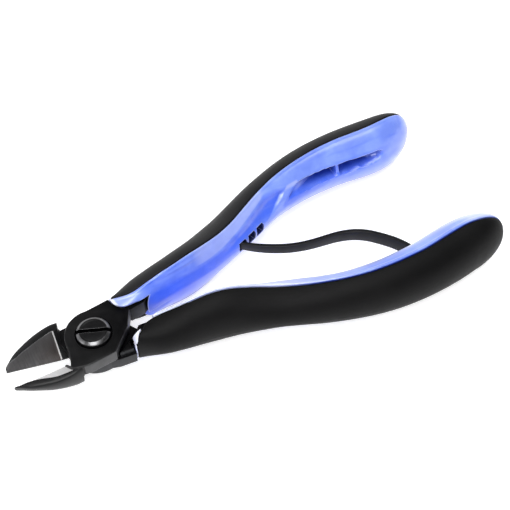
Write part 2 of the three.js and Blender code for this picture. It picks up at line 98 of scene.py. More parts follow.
def smoothed(values, reach, sigma):
    """Gaussian smoothing, in samples, that keeps the end slopes."""
    before = 2 * values[0] - values[reach:0:-1]
    after = 2 * values[-1] - values[-2:-reach - 2:-1]
    kernel = np.exp(-0.5 * (np.arange(-reach, reach + 1) / sigma) ** 2)
    padded = np.r_[before, values, after]
    return np.convolve(padded, kernel / kernel.sum(), "same")[reach:-reach]


def length_along(points):
    return np.r_[0, np.cumsum(np.hypot(*np.diff(points, axis=0).T))]


def turned(x, y, angle):
    """A point, or arrays of them, turned about Z."""
    cos, sin = math.cos(angle), math.sin(angle)
    return x * cos - y * sin, x * sin + y * cos


def grown(points, by):
    """An outline offset outward, with mitred corners."""
    points = np.array(points, float)
    following = np.roll(points, -1, axis=0)
    area = 0.5 * np.sum(points[:, 0] * following[:, 1] - following[:, 0] * points[:, 1])
    side = 1 if area > 0 else -1
    out = []
    for i, corner in enumerate(points):
        before, after = points[i - 1], following[i]
        normal_in = np.array([corner[1] - before[1], before[0] - corner[0]])
        normal_out = np.array([after[1] - corner[1], corner[0] - after[0]])
        mitre = normal_in / np.hypot(*normal_in) + normal_out / np.hypot(*normal_out)
        out.append(tuple(corner + mitre * (2 / (mitre @ mitre)) * by * side))
    return out


def arc_points(radius, start, end, count):
    angles = np.radians(np.linspace(start, end, count))
    return [(radius * math.cos(a), radius * math.sin(a)) for a in angles]


# ------------------------------------------------------------------ mesh helpers


@contextmanager
def editing(body):
    edit = bmesh.new()
    edit.from_mesh(body.data)
    yield edit
    edit.to_mesh(body.data)
    edit.free()


def new_object(name, verts, faces, mats):
    mesh = bpy.data.meshes.new(name)
    faces = [tuple(int(i) for i in face) for face in faces]
    mesh.from_pydata([tuple(v) for v in verts], [], faces)
    mesh.validate()
    body = bpy.data.objects.new(name, mesh)
    scene.collection.objects.link(body)
    for mat in mats:
        mesh.materials.append(mat)
    return body


def get_points(body):
    points = np.zeros(len(body.data.vertices) * 3)
    body.data.vertices.foreach_get("co", points)
    return points.reshape(-1, 3)


def set_points(body, points):
    body.data.vertices.foreach_set("co", points.astype(np.float32).ravel())
    body.data.update()


def orient(body):
    with editing(body) as edit:
        bmesh.ops.remove_doubles(edit, verts=edit.verts, dist=1e-5)
        bmesh.ops.recalc_face_normals(edit, faces=edit.faces)
    return body


def boolean(body, cutter, operation="DIFFERENCE"):
    """Applies an exact boolean at once and removes the cutter."""
    modifier = body.modifiers.new("bool", "BOOLEAN")
    modifier.operation = operation
    modifier.object = cutter
    modifier.solver = "EXACT"
    modifier.material_mode = "TRANSFER"
    bpy.context.view_layer.update()
    depsgraph = bpy.context.evaluated_depsgraph_get()
    result = bpy.data.meshes.new_from_object(
        body.evaluated_get(depsgraph), preserve_all_data_layers=True, depsgraph=depsgraph)
    old = body.data
    body.modifiers.clear()
    body.data = result
    bpy.data.meshes.remove(old)
    bpy.data.objects.remove(cutter)


def prism(name, points, bottom, top, mats, bevel_low=0.0, bevel_high=0.0, segments=3):
    """An outline pulled up from bottom to top, with rounded rims if wanted."""
    n = len(points)
    verts = [(x, y, bottom) for x, y in points] + [(x, y, top) for x, y in points]
    faces = [list(range(n))[::-1], [i + n for i in range(n)]]
    faces += [[i, (i + 1) % n, (i + 1) % n + n, i + n] for i in range(n)]
    body = orient(new_object(name, verts, faces, mats))
    for z, width in ((bottom, bevel_low), (top, bevel_high)):
        if width <= 0:
            continue
        with editing(body) as edit:
            rim = [e for e in edit.edges if all(abs(v.co.z - z) < 1e-4 for v in e.verts)]
            bmesh.ops.bevel(
                edit, geom=rim, offset=width, offset_type="OFFSET", segments=segments,
                profile=0.5, affect="EDGES", clamp_overlap=True)
    return body


def ring_solid(name, rings, mats):
    """Skins rings (stations x points x 3), each a closed loop, and fans the two ends shut."""
    count, size, _ = rings.shape
    verts = rings.reshape(-1, 3)
    faces = []
    here = np.arange(size)
    beside = (here + 1) % size
    for i in range(count - 1):
        near, far = i * size, (i + 1) * size
        faces += np.c_[near + here, far + here, far + beside, near + beside].tolist()
    hub = len(verts)
    last = (count - 1) * size
    verts = np.vstack([verts, rings[0].mean(0), rings[-1].mean(0)])
    faces += [[hub, a, b] for a, b in zip(here, beside)]
    faces += [[hub + 1, b, a] for a, b in zip(here + last, beside + last)]
    return orient(new_object(name, verts, faces, mats))


def lathe(name, profile, steps, mats):
    """A solid turned about Z from (radius, z) points."""
    angles = np.linspace(0, 2 * math.pi, steps, endpoint=False)
    rings = [[(r * math.cos(a), r * math.sin(a), z) for a in angles] for r, z in profile]
    return ring_solid(name, np.array(rings), mats)


def tidy(body, dist=2e-4):
    """Welds points that booleans left on top of each other."""
    with editing(body) as edit:
        bmesh.ops.remove_doubles(edit, verts=edit.verts, dist=dist)
        bmesh.ops.dissolve_degenerate(edit, edges=edit.edges, dist=dist)
        loose = [v for v in edit.verts if not v.link_faces]
        bmesh.ops.delete(edit, geom=loose, context="VERTS")
        bmesh.ops.recalc_face_normals(edit, faces=edit.faces)
    return body


def island_from(start, seen):
    """All faces joined to the start through edges; marks them as seen."""
    stack, island = [start], []
    while stack:
        face = stack.pop()
        island.append(face)
        for edge in face.edges:
            for other in edge.link_faces:
                if other.index not in seen:
                    seen.add(other.index)
                    stack.append(other)
    return island


def clean(body, smallest=24):
    """Drops loose slivers of fewer faces than the smallest, and turns the faces outward."""
    with editing(body) as edit:
        edit.faces.ensure_lookup_table()
        seen, drop = set(), []
        for face in edit.faces:
            if face.index in seen:
                continue
            seen.add(face.index)
            island = island_from(face, seen)
            if len(island) < smallest:
                drop += island
        bmesh.ops.delete(edit, geom=drop, context="FACES")
        loose = [e for e in edit.edges if not e.link_faces]
        bmesh.ops.delete(edit, geom=loose, context="EDGES")
        if edit.calc_volume(signed=True) < 0:
            bmesh.ops.reverse_faces(edit, faces=edit.faces[:])


def shade(body, degrees):
    """Smooth faces, with edges sharper than the angle kept crisp."""
    limit = math.radians(degrees)
    with editing(body) as edit:
        for face in edit.faces:
            face.smooth = True
        for edge in edit.edges:
            edge.smooth = not (len(edge.link_faces) == 2 and edge.calc_face_angle(0.0) > limit)


def place(body, crisp, half=None):
    """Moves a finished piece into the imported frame, in metres, and shades it."""
    points = get_points(body)
    if half == "A":
        points = points * np.array([1, -1, -1])
    if half:
        x, y, z = points.T
        points = np.c_[(*turned(x, y, HALF_TURN[half]), z)]
    set_points(body, (points + np.array([0, 0, LIFT])) * MM)
    clean(body)
    shade(body, crisp)


def set_materials(body, mats):
    body.data.materials.clear()
    for mat in mats:
        body.data.materials.append(mat)


# ------------------------------------------------------------------ materials (lengths in metres)


class Nodes:
    """Short-hand for building a node tree."""

    def __init__(self, tree):
        self.nodes = tree.nodes
        self.links = tree.links
        self.nodes.clear()

    def feed(self, socket, value):
        """Links a socket into an input, or sets the input's value."""
        if isinstance(value, bpy.types.NodeSocket):
            self.links.new(value, socket)
        else:
            socket.default_value = value

    def node(self, kind, inputs=None, **props):
        node = self.nodes.new(kind)
        for key, value in props.items():
            setattr(node, key, value)
        for key, value in (inputs or {}).items():
            self.feed(node.inputs[key], value)
        return node

    def remap(self, value, span, to=(0.0, 1.0)):
        """Maps the span onto the range `to`, clamped."""
        return self.node("ShaderNodeMapRange", dict(enumerate((value, *span, *to)))).outputs[0]

    def mix(self, share, first, second):
        """Colour mix; colours are RGB tuples or sockets."""
        inputs = {0: share}
        # inputs 6 and 7 and output 2 are the node's colour sockets
        for i, value in ((6, first), (7, second)):
            inputs[i] = (*value, 1.0) if isinstance(value, tuple) else value
        return self.node("ShaderNodeMix", inputs, data_type="RGBA").outputs[2]


class Shader(Nodes):
    """A material round one Principled shader, textured in object coordinates."""

    def __init__(self, name):
        self.material = bpy.data.materials.new(name)
        self.material.use_nodes = True
        super().__init__(self.material.node_tree)
        self.out = self.node("ShaderNodeOutputMaterial")
        self.bsdf = self.node("ShaderNodeBsdfPrincipled")
        self.links.new(self.bsdf.outputs[0], self.out.inputs[0])
        self.coord = self.node("ShaderNodeTexCoord").outputs["Object"]

    def set(self, **values):
        for key, value in values.items():
            self.feed(self.bsdf.inputs[key.replace("_", " ")], value)

    def mapping(self, scale, rotation=(0, 0, 0)):
        inputs = {"Scale": scale, "Rotation": rotation, "Vector": self.coord}
        return self.node("ShaderNodeMapping", inputs).outputs[0]

    def noise(self, scale, detail=4.0, rough=0.55, vector=None, distortion=0.0):
        inputs = {
            "Scale": scale, "Detail": detail, "Roughness": rough, "Distortion": distortion,
            "Vector": self.coord if vector is None else vector,
        }
        return self.node("ShaderNodeTexNoise", inputs).outputs["Fac"]

    def streaks(self, scale, detail=4, rough=0.6, rotation=(0, 0, 0), distortion=0.0):
        """Noise drawn out along axes: scale is per axis."""
        vector = self.mapping(scale, rotation)
        return self.noise(1.0, detail, rough, vector, distortion)

    def math(self, operation, first, second):
        return self.node("ShaderNodeMath", {0: first, 1: second}, operation=operation).outputs[0]

    def times(self, first, second):
        return self.math("MULTIPLY", first, second)

    def tones(self, value, span, low, high):
        return self.mix(self.remap(value, span), low, high)

    def attribute(self, name):
        return self.node("ShaderNodeAttribute", attribute_name=name).outputs["Fac"]

    def position(self):
        return self.node("ShaderNodeSeparateXYZ", {0: self.coord}).outputs

    def occlusion(self, distance, span):
        """0 in tight corners, 1 in the open."""
        node = self.node("ShaderNodeAmbientOcclusion", {"Distance": distance}, samples=8)
        return self.remap(node.outputs["AO"], span)

    def rounded(self, radius):
        return self.node("ShaderNodeBevel", {"Radius": radius}, samples=6).outputs[0]

    def sharp_edge_mask(self, radius, span):
        """1 on sharp edges, 0 on flats: how far the rounded normal leans from the true one."""
        normal = self.node("ShaderNodeNewGeometry").outputs["Normal"]
        inputs = {0: self.rounded(radius), 1: normal}
        dot = self.node("ShaderNodeVectorMath", inputs, operation="DOT_PRODUCT")
        return self.remap(self.math("SUBTRACT", 1.0, dot.outputs["Value"]), span)

    def worn(self, base, tone, share, radius, span):
        """The base with its sharp edges rubbed towards a tone."""
        return self.mix(self.times(self.sharp_edge_mask(radius, span), share), base, tone)

    def surface(self, radius=0.0, bumps=()):
        """Edges rounded in shading, plus a chain of bumps: (height, strength, distance)."""
        normal = self.rounded(radius) if radius > 0 else None
        for height, strength, distance in bumps:
            inputs = {"Strength": strength, "Distance": distance, "Height": height}
            if normal is not None:
                inputs["Normal"] = normal
            normal = self.node("ShaderNodeBump", inputs).outputs[0]
        self.set(Normal=normal)


def black_oxide():
    mat = Shader("black_oxide_steel")
    cloud = mat.noise(scale=260, detail=5, rough=0.6)
    fine = mat.noise(scale=2600, detail=6, rough=0.7)
    edge_rub_and_glint = mat.sharp_edge_mask(radius=0.00022, span=(0.03, 0.22))
    rub = mat.times(edge_rub_and_glint, mat.remap(mat.noise(scale=900), span=(0.35, 0.65), to=(0.25, 1.0)))
    # painted shade: reflections dim in corners, by occlusion
    unoccluded = mat.occlusion(distance=0.003, span=(0.25, 0.85))
    base = mat.tones(
        cloud, span=(0.35, 0.7), low=(0.0022, 0.0022, 0.0026), high=(0.0045, 0.0045, 0.0050))
    base = mat.mix(mat.times(rub, 0.4), base, (0.10, 0.10, 0.105))
    # duller towards the handles
    gloss = mat.times(mat.remap(mat.position()[0], span=(-0.007, 0.004), to=(0.22, 1.0)), 0.27)
    grain = mat.math("ADD", mat.times(cloud, 0.6), mat.times(fine, 0.4))
    mat.set(
        Base_Color=base, Roughness=mat.remap(grain, span=(0.3, 0.7), to=(0.34, 0.46)),
        Specular_IOR_Level=mat.times(unoccluded, gloss))
    mat.surface(radius=0.00018, bumps=[(fine, 0.18, 0.00002), (cloud, 0.12, 0.00008)])
    return mat.material


def side_steel():
    """The plates' side faces: the same black finish in a paler copy, a painted sheen, with rubbed
    edges and painted shade in corners.
    """
    mat = Shader("side_steel_wear_and_painted_sheen")
    cloud = mat.noise(scale=330, detail=5, rough=0.6)
    drag = mat.streaks(scale=(380, 380, 3600))
    unoccluded = mat.occlusion(distance=0.003, span=(0.3, 0.9))
    # paler than the black finish: painted sheen
    tone = mat.tones(
        cloud, span=(0.32, 0.68), low=(0.010, 0.010, 0.012), high=(0.034, 0.034, 0.038))
    # painted shade: darker in corners, with dimmer reflections there
    tone = mat.mix(unoccluded, (0.002, 0.002, 0.003), tone)
    tone = mat.worn(tone, (0.16, 0.16, 0.17), share=0.5, radius=0.0003, span=(0.03, 0.22))
    mat.set(
        Base_Color=tone, Roughness=mat.remap(drag, span=(0.3, 0.7), to=(0.32, 0.44)),
        Specular_IOR_Level=mat.times(unoccluded, 0.6))
    mat.surface(radius=0.00025, bumps=[(drag, 0.15, 0.00002)])
    return mat.material


def bright_steel(name, level):
    """Pale streaked steel of the given brightness, for painted highlights and painted reflections.
    """
    mat = Shader(name)
    streak = mat.streaks(scale=(4200, 260, 260), detail=5, rough=0.65)
    tone = mat.tones(streak, span=(0.3, 0.7), low=(level * 0.86,) * 3, high=(level,) * 3)
    rough = mat.remap(streak, span=(0.25, 0.75), to=(0.32, 0.46))
    mat.set(Base_Color=tone, Roughness=rough, Metallic=0.25)
    mat.surface(radius=0.00008, bumps=[(streak, 0.2, 0.00001)])
    return mat.material


def ground_steel():
    """The ground cutting bevel: fine scratches, warmer at the back, and paler higher up by a painted
    sheen.
    """
    mat = Shader("ground_bevel_steel")
    streak = mat.streaks(scale=(4200, 260, 260), detail=5, rough=0.65, rotation=(0, 0, 0.25))
    broad = mat.noise(scale=170, detail=3, rough=0.5)
    position = mat.position()
    back = mat.remap(position[0], span=(0.0095, 0.017), to=(1.0, 0.0))
    tone = mat.tones(
        streak, span=(0.3, 0.7), low=(0.095, 0.092, 0.094), high=(0.15, 0.148, 0.15))
    warmth = mat.times(back, mat.remap(broad, span=(0.3, 0.7), to=(0.4, 0.85)))
    tone = mat.mix(warmth, tone, (0.085, 0.066, 0.060))
    # painted sheen: paler higher up
    rise = mat.remap(position[2], span=(0.0035, 0.0078), to=(0.0, 0.6))
    sheen_share = mat.times(rise, mat.remap(broad, span=(0.3, 0.7), to=(0.5, 1.0)))
    tone = mat.mix(sheen_share, tone, (0.24, 0.24, 0.245))
    tone = mat.worn(tone, (0.50, 0.50, 0.51), share=0.7, radius=0.0002, span=(0.03, 0.2))
    rough = mat.remap(streak, span=(0.25, 0.75), to=(0.30, 0.44))
    mat.set(Base_Color=tone, Roughness=rough, Metallic=0.95)
    mat.surface(radius=0.00012, bumps=[(streak, 0.25, 0.00002)])
    return mat.material


def tang_steel():
    """Satin grey of the bare tang, and of half B's plate sides."""
    mat = Shader("satin_tang_steel")
    streak = mat.streaks(scale=(500, 3200, 500))
    unoccluded = mat.occlusion(distance=0.0015, span=(0.2, 0.8))
    tone = mat.tones(
        streak, span=(0.3, 0.7), low=(0.011, 0.012, 0.0135), high=(0.027, 0.028, 0.032))
    # painted shade: darker in corners
    tone = mat.mix(unoccluded, (0.004, 0.004, 0.006), tone)
    rough = mat.remap(streak, span=(0.3, 0.7), to=(0.34, 0.48))
    mat.set(Base_Color=tone, Roughness=rough, Metallic=0.75)
    mat.surface(radius=0.00015, bumps=[(streak, 0.2, 0.00002)])
    return mat.material


def screw_material():
    mat = Shader("screw_black_oxide")
    turning = mat.streaks(scale=(900, 900, 6000))
    cloud = mat.noise(scale=700, rough=0.6)
    base = mat.tones(
        cloud, span=(0.3, 0.7), low=(0.0022, 0.0022, 0.0026), high=(0.0052, 0.0052, 0.0058))
    base = mat.worn(base, (0.30, 0.30, 0.31), share=0.6, radius=0.0002, span=(0.02, 0.2))
    mat.set(
        Base_Color=base, Roughness=mat.remap(turning, span=(0.3, 0.7), to=(0.28, 0.40)),
        Specular_IOR_Level=0.3, Metallic=0.08)
    mat.surface(radius=0.00012, bumps=[(turning, 0.15, 0.00002)])
    return mat.material


def screw_chamfer_material():
    mat = Shader("screw_bright_chamfer")
    turning = mat.streaks(scale=(900, 900, 9000))
    cloud = mat.noise(scale=420, rough=0.6)
    tone = mat.tones(
        cloud, span=(0.3, 0.7), low=(0.075, 0.075, 0.078), high=(0.17, 0.17, 0.175))
    rough = mat.remap(turning, span=(0.3, 0.7), to=(0.26, 0.38))
    mat.set(Base_Color=tone, Roughness=rough, Metallic=1.0)
    mat.surface(radius=0.0001, bumps=[(turning, 0.2, 0.00002)])
    return mat.material


def slot_material():
    mat = Shader("screw_slot_shadow")
    fine = mat.noise(scale=2600, detail=5, rough=0.7)
    tone = mat.mix(fine, (0.0005, 0.0005, 0.0006), (0.0012, 0.0012, 0.0014))
    mat.set(Base_Color=tone, Roughness=0.6, Specular_IOR_Level=0.01)
    mat.surface(bumps=[(fine, 0.3, 0.00003)])
    return mat.material


# The pale tone is a painted sheen, the near-white tone a painted glare, the corner tone painted
# shade; the deep tone is random mottling.
CORE_TONES = {
    "body": (0.068, 0.165, 0.90), "deep": (0.022, 0.080, 0.64), "pale": (0.25, 0.37, 0.94),
    "glare": (0.80, 0.83, 0.97), "corner": (0.003, 0.020, 0.30),
}
# A darker copy of the core's tones, for the faces inside the cuts: painted shade.
SHADED_CORE_TONES = {
    "body": (0.004, 0.010, 0.085), "deep": (0.002, 0.004, 0.04), "pale": (0.03, 0.05, 0.26),
    "glare": (0.3, 0.34, 0.7), "corner": (0.002, 0.004, 0.04),
}


def core_plastic(name, tones, **finish):
    """Moulded plastic with painted light: a painted sheen and white glare set by the vertex
    attributes `pale` and `rim`, a painted highlight on sharp edges and painted shade in corners.
    """
    mat = Shader(name)
    flow = mat.streaks(
        scale=(60, 210, 210), rough=0.55, rotation=(0, 0, 0.35), distortion=1.2)
    fine = mat.noise(scale=3200, rough=0.6)
    swirl = mat.noise(scale=95, detail=5, rough=0.6)
    # painted sheen mask: up to 1 paler, from 1 to 2 towards a white glare
    sheen_mask = mat.attribute("pale")
    streaks = mat.remap(flow, span=(0.32, 0.68), to=(-0.35, 0.35))
    streaks = mat.times(streaks, mat.remap(sheen_mask, span=(0.0, 1.0), to=(0.5, 1.0)))
    amount = mat.math("ADD", sheen_mask, streaks)
    base = mat.tones(amount, span=(0.0, 1.0), low=tones["body"], high=tones["pale"])
    base = mat.mix(mat.remap(swirl, span=(0.42, 0.62), to=(0.35, 0.0)), base, tones["deep"])
    base = mat.tones(sheen_mask, span=(1.0, 2.0), low=base, high=tones["glare"])
    # painted shade: corners darken, except where the painted glare is
    lit = mat.remap(sheen_mask, span=(0.9, 1.5), to=(0.0, 0.85))
    lit = mat.math("MAXIMUM", mat.occlusion(distance=0.006, span=(0.28, 0.84)), lit)
    base = mat.mix(lit, tones["corner"], base)
    # painted sheen towards white at grazing angles, as far as the rim attribute allows
    facing = mat.node("ShaderNodeLayerWeight", {"Blend": 0.5}).outputs["Facing"]
    rim = mat.remap(facing, span=(0.50, 0.95), to=(0.0, 0.55))
    base = mat.mix(mat.times(rim, mat.attribute("rim")), base, tones["glare"])
    # painted highlight: sharp edges whiten, less where the sheen mask is low
    edge_rub_and_glint = mat.times(mat.sharp_edge_mask(radius=0.00042, span=(0.035, 0.2)), 0.6)
    edge_rub_and_glint = mat.times(edge_rub_and_glint, mat.remap(sheen_mask, span=(-0.5, 0.5), to=(0.45, 1.0)))
    base = mat.mix(edge_rub_and_glint, base, tones["glare"])
    mat.set(
        Base_Color=base, Roughness=mat.remap(fine, span=(0.3, 0.7), to=(0.27, 0.36)), **finish)
    mat.surface(radius=0.00025, bumps=[(fine, 0.10, 0.00002), (swirl, 0.06, 0.0001)])
    return mat.material


def grip_rubber(name, level, gloss):
    mat = Shader(name)
    cloud = mat.noise(scale=120, detail=5, rough=0.6)
    inputs = {"Scale": 2400, "Vector": mat.coord}
    grain = mat.node("ShaderNodeTexVoronoi", inputs, feature="SMOOTH_F1").outputs["Distance"]
    fine = mat.noise(scale=1500, detail=6, rough=0.7)
    base = mat.tones(
        cloud, span=(0.35, 0.7), low=(level * 0.65, level * 0.65, level * 0.78),
        high=(level * 1.35, level * 1.32, level * 1.48))
    base = mat.worn(base, (0.04, 0.04, 0.042), share=0.25, radius=0.0004, span=(0.02, 0.25))
    rough = mat.math("ADD", mat.times(cloud, 0.5), mat.times(fine, 0.5))
    rough = mat.remap(rough, span=(0.35, 0.65), to=(0.50, 0.62))
    mat.set(Base_Color=base, Roughness=rough, Specular_IOR_Level=gloss)
    bumps = [(grain, 0.16, 0.00005), (fine, 0.14, 0.00004), (cloud, 0.10, 0.0002)]
    mat.surface(radius=0.0003, bumps=bumps)
    return mat.material


def spring_material():
    mat = Shader("blackened_spring_steel")
    streak = mat.streaks(scale=(260, 260, 5200))
    cloud = mat.noise(scale=300, rough=0.6)
    base = mat.tones(
        cloud, span=(0.35, 0.7), low=(0.0045, 0.0045, 0.0052), high=(0.0095, 0.0095, 0.0108))
    base = mat.worn(base, (0.14, 0.14, 0.15), share=0.4, radius=0.00016, span=(0.03, 0.22))
    mat.set(
        Base_Color=base, Roughness=mat.remap(streak, span=(0.3, 0.7), to=(0.30, 0.44)),
        Specular_IOR_Level=0.24, Metallic=0.03)
    mat.surface(radius=0.00014, bumps=[(streak, 0.15, 0.00002)])
    return mat.material


STEEL = black_oxide()
GROUND = ground_steel()
# Painted light on steel: the side finish is a paler copy (painted sheen), the step a painted
# highlight and half A's bevel a painted reflection.
SIDE_WEAR_AND_SHEEN = side_steel()
STEP_HIGHLIGHT = bright_steel("step_steel_painted_highlight", level=0.5)
BEVEL_REFLECTION = bright_steel("bevel_steel_painted_reflection", level=0.8)
TANG = tang_steel()
SCREW = screw_material()
CHAMFER = screw_chamfer_material()
SLOT = slot_material()
CORE = core_plastic(
    "hard_core_plastic", CORE_TONES, Specular_IOR_Level=0.7, Coat_Weight=0.5,
    Coat_Roughness=0.2, Subsurface_Weight=0.08, Subsurface_Radius=(0.3, 0.5, 1.0),
    Subsurface_Scale=0.001)
# a darker copy of the core plastic, for the faces inside the cuts: painted shade
CORE_IN_SHADE = core_plastic("hard_core_plastic_in_painted_shade", SHADED_CORE_TONES, Specular_IOR_Level=0.2)
# the same rubber twice: a lighter copy on the upper grip (painted sheen) and a darker one on the
# lower grip (painted shade)
GRIP = {
    "A": grip_rubber("upper_grip_elastomer_painted_sheen", level=0.0072, gloss=0.20),
    "B": grip_rubber("lower_grip_elastomer_painted_shade", level=0.0018, gloss=0.135),
}
SPRING = spring_material()

steel_prism = partial(prism, mats=[STEEL])
seat_prism = partial(prism, mats=[CORE_IN_SHADE])

# ------------------------------------------------------------------ handle shape

# Sections along the handle: x, crest y, half width outward (+Y) and inward, half thickness,
# superellipse power outward and inward.
HANDLE_COLUMNS = ("crest", "outward", "inward", "thick", "outward_power", "inward_power")
HANDLE = np.array([
    [-9.1, 6.3, 1.35, 5.15, 4.85, 2.4, 4.5],
    [-10.2, 5.9, 2.25, 4.8, 5.1, 2.4, 4.2],
    [-11.6, 5.2, 3.45, 4.2, 5.35, 2.35, 3.95],
    [-13.1, 4.48, 4.7, 3.5, 5.68, 2.3, 3.6],
    [-14.7, 4.02, 5.72, 3.1, 6.02, 2.2, 3.1],
    [-16.6, 3.86, 6.45, 3.0, 6.42, 2.1, 2.5],
    [-18.8, 3.86, 6.88, 3.08, 6.9, 2.04, 2.0],
    [-21.2, 3.86, 7.08, 3.14, 7.42, 2.0, 1.74],
    [-24.0, 3.8, 7.25, 3.1, 8.05, 2.0, 1.62],
    [-28.5, 3.65, 7.6, 2.95, 8.75, 2.0, 1.58],
    [-33.0, 3.75, 7.85, 3.0, 9.25, 2.0, 1.5],
    [-38.5, 4.3, 8.07, 3.3, 8.95, 2.0, 1.45],
    [-45.1, 5.75, 8.3, 3.85, 7.75, 2.0, 1.58],
    [-51.5, 7.85, 7.9, 4.8, 6.95, 2.0, 1.76],
    [-57.5, 10.1, 7.45, 5.5, 7.1, 2.0, 1.8],
    [-63.5, 12.1, 7.2, 5.85, 7.6, 2.0, 1.7],
    [-69.8, 13.7, 7.05, 6.1, 8.1, 2.0, 1.68],
    [-76.0, 14.65, 7.25, 6.55, 8.5, 2.0, 1.7],
    [-82.1, 15.0, 7.58, 6.78, 8.85, 2.0, 1.72],
    [-88.3, 14.85, 7.8, 6.9, 9.2, 2.0, 1.78],
    [-94.4, 14.25, 8.0, 6.9, 9.42, 2.0, 1.85],
    [-100.0, 13.2, 8.3, 6.95, 9.65, 2.0, 1.88],
    [-105.0, 12.25, 8.2, 7.05, 9.9, 2.0, 1.9],
    [-109.3, 11.7, 7.6, 6.9, 10.15, 2.0, 1.88],
    [-113.0, 11.6, 6.85, 6.4, 10.0, 2.0, 1.9],
    [-116.3, 11.6, 5.7, 5.4, 9.2, 2.0, 1.95],
    [-118.9, 11.65, 4.35, 4.2, 7.65, 2.0, 2.0],
    [-120.7, 11.75, 2.95, 2.85, 5.4, 2.0, 2.0],
    [-121.7, 11.8, 1.5, 1.45, 2.8, 2.0, 2.0],
])
HANDLE_FRONT = -9.1
TAIL_X = -122.0
# These shrink with the root of the distance to the tail, so that it closes in a round dome.
DOMED = ("outward", "inward", "thick")
SAMPLE_X = np.arange(TAIL_X, -8.0, 0.1)

GRIP_THICK = 1.7
GRIP_FRONT = -9.58
# Rounding of the front rims: distance behind the rim, inset there.
CORE_RIM_X = [9.1, 9.13, 9.18, 9.25, 9.33, 9.42]  # as -x
CORE_RIM_INSET = [0.32, 0.22, 0.13, 0.06, 0.02, 0.0]
GRIP_RIM_X = [0, 0.02, 0.06, 0.13, 0.24, 0.38, 0.55]  # behind GRIP_FRONT
GRIP_RIM_INSET = [0.5, 0.38, 0.26, 0.15, 0.06, 0.02, 0.0]


def sample_handle():
    rows = HANDLE[::-1]
    dome = np.sqrt(rows[:, 0] - TAIL_X)
    curves = {}
    for column, name in enumerate(HANDLE_COLUMNS, 1):
        values = rows[:, column] / (dome if name in DOMED else 1.0)
        curves[name] = smoothed(hermite(SAMPLE_X, rows[:, 0], values), reach=30, sigma=9.0)
    return curves


HANDLE_CURVES = sample_handle()


def at(name, x):
    value = np.interp(x, SAMPLE_X, HANDLE_CURVES[name])
    return value * np.sqrt(np.maximum(x - TAIL_X, 0)) if name in DOMED else value


def crest_near(x):
    """Crest y, with x held within the handle's length."""
    return at("crest", np.clip(x, TAIL_X + 0.05, HANDLE_FRONT))


def middle(x):
    return at("crest", x) + (at("outward", x) - at("inward", x)) / 2


def section_axes(x):
    """Where the section at x stands and its outward direction, in plan."""
    ahead = np.minimum(x + 0.6, HANDLE_FRONT)
    behind = np.maximum(x - 0.6, TAIL_X + 0.05)
    slope = (middle(ahead) - middle(behind)) / (ahead - behind)
    # sections stand square to X at both ends
    lean = slope * (np.clip((-9 - x) / 16, 0, 1) * np.clip((x + 121.7) / 14, 0, 1))
    length = np.hypot(1, lean)
    return at("crest", x), -lean / length, 1 / length


def section_points(x, angle, inset):
    """Section points (outward, z) at stations x; angle has a row and inset a value for each."""
    x, inset = x[:, None], inset[:, None]
    cos, sin = np.cos(angle), np.sin(angle)
    outside = cos >= 0
    power = np.where(outside, 2 / at("outward_power", x), 2 / at("inward_power", x))
    width = np.where(outside, at("outward", x), at("inward", x)) - inset
    out = np.sign(cos) * np.abs(cos) ** power * np.maximum(width, 0.01)
    z = np.sign(sin) * np.abs(sin) ** power * np.maximum(at("thick", x) - inset, 0.01)
    return out, z


def seam(x):
    """Angles at which the grip ends on the +Z and -Z sides.

    On +Z it laps over the crest, and its front corner is round.
    """
    lap = 0.95 * smoothstep((-9.0 - x) / 3.0) * smoothstep((x + 27.0) / 9.0)
    behind = np.clip(GRIP_FRONT - x, 0, None)
    lap = lap - 3.5 * quarter_round(behind / 4.6)
    lap = np.where(x > GRIP_FRONT, -1.65, lap)
    back = np.clip(-lap, 0, None) / np.maximum(at("outward", x), 0.5)
    reach = np.clip(lap, 0, None) / np.maximum(at("inward", x), 0.5)
    over = reach ** (at("inward_power", x) / 2)
    return np.pi / 2 - np.minimum(back, 0.9) + over, np.full_like(x, np.pi / 2)


def stand(x, out, z):
    """Sections set up along the handle, as rings of points."""
    crest, normal_x, normal_y = (v[:, None] for v in section_axes(x))
    return np.stack([x[:, None] + normal_x * out, crest + normal_y * out, z], -1)


def skin_frame(out, z):
    """Normals along each section line, and the distance to its nearer end."""
    step_out, step_z = np.gradient(out, axis=1), np.gradient(z, axis=1)
    length = np.hypot(step_out, step_z) + 1e-9
    chords = np.hypot(np.diff(out, axis=1), np.diff(z, axis=1))
    along = np.c_[np.zeros(len(out)), np.cumsum(chords, 1)]
    return step_z / length, -step_out / length, np.minimum(along, along[:, -1:] - along)


def grip_depth(x):
    return np.minimum(GRIP_THICK, 0.42 * np.minimum(at("outward", x), at("thick", x)))


def stations(front):
    """Carries the front stations on to the tail, closer in some stretches and at the dome."""
    xs = list(front)
    x = xs[-1]
    while x > -113.5:
        step = 0.3 if x > -18 else 0.45
        if -112 < x < -72 or -66 < x < -46:
            step = 0.36
        x -= step
        xs.append(x)
    root = math.sqrt(xs[-1] - TAIL_X)
    dome_steps = 34
    xs += [TAIL_X + (root * (1 - i / dome_steps)) ** 2 for i in range(1, dome_steps)]
    xs += [TAIL_X + 0.001]
    return np.array(xs)


# ------------------------------------------------------------------ relief in the cores' inner faces

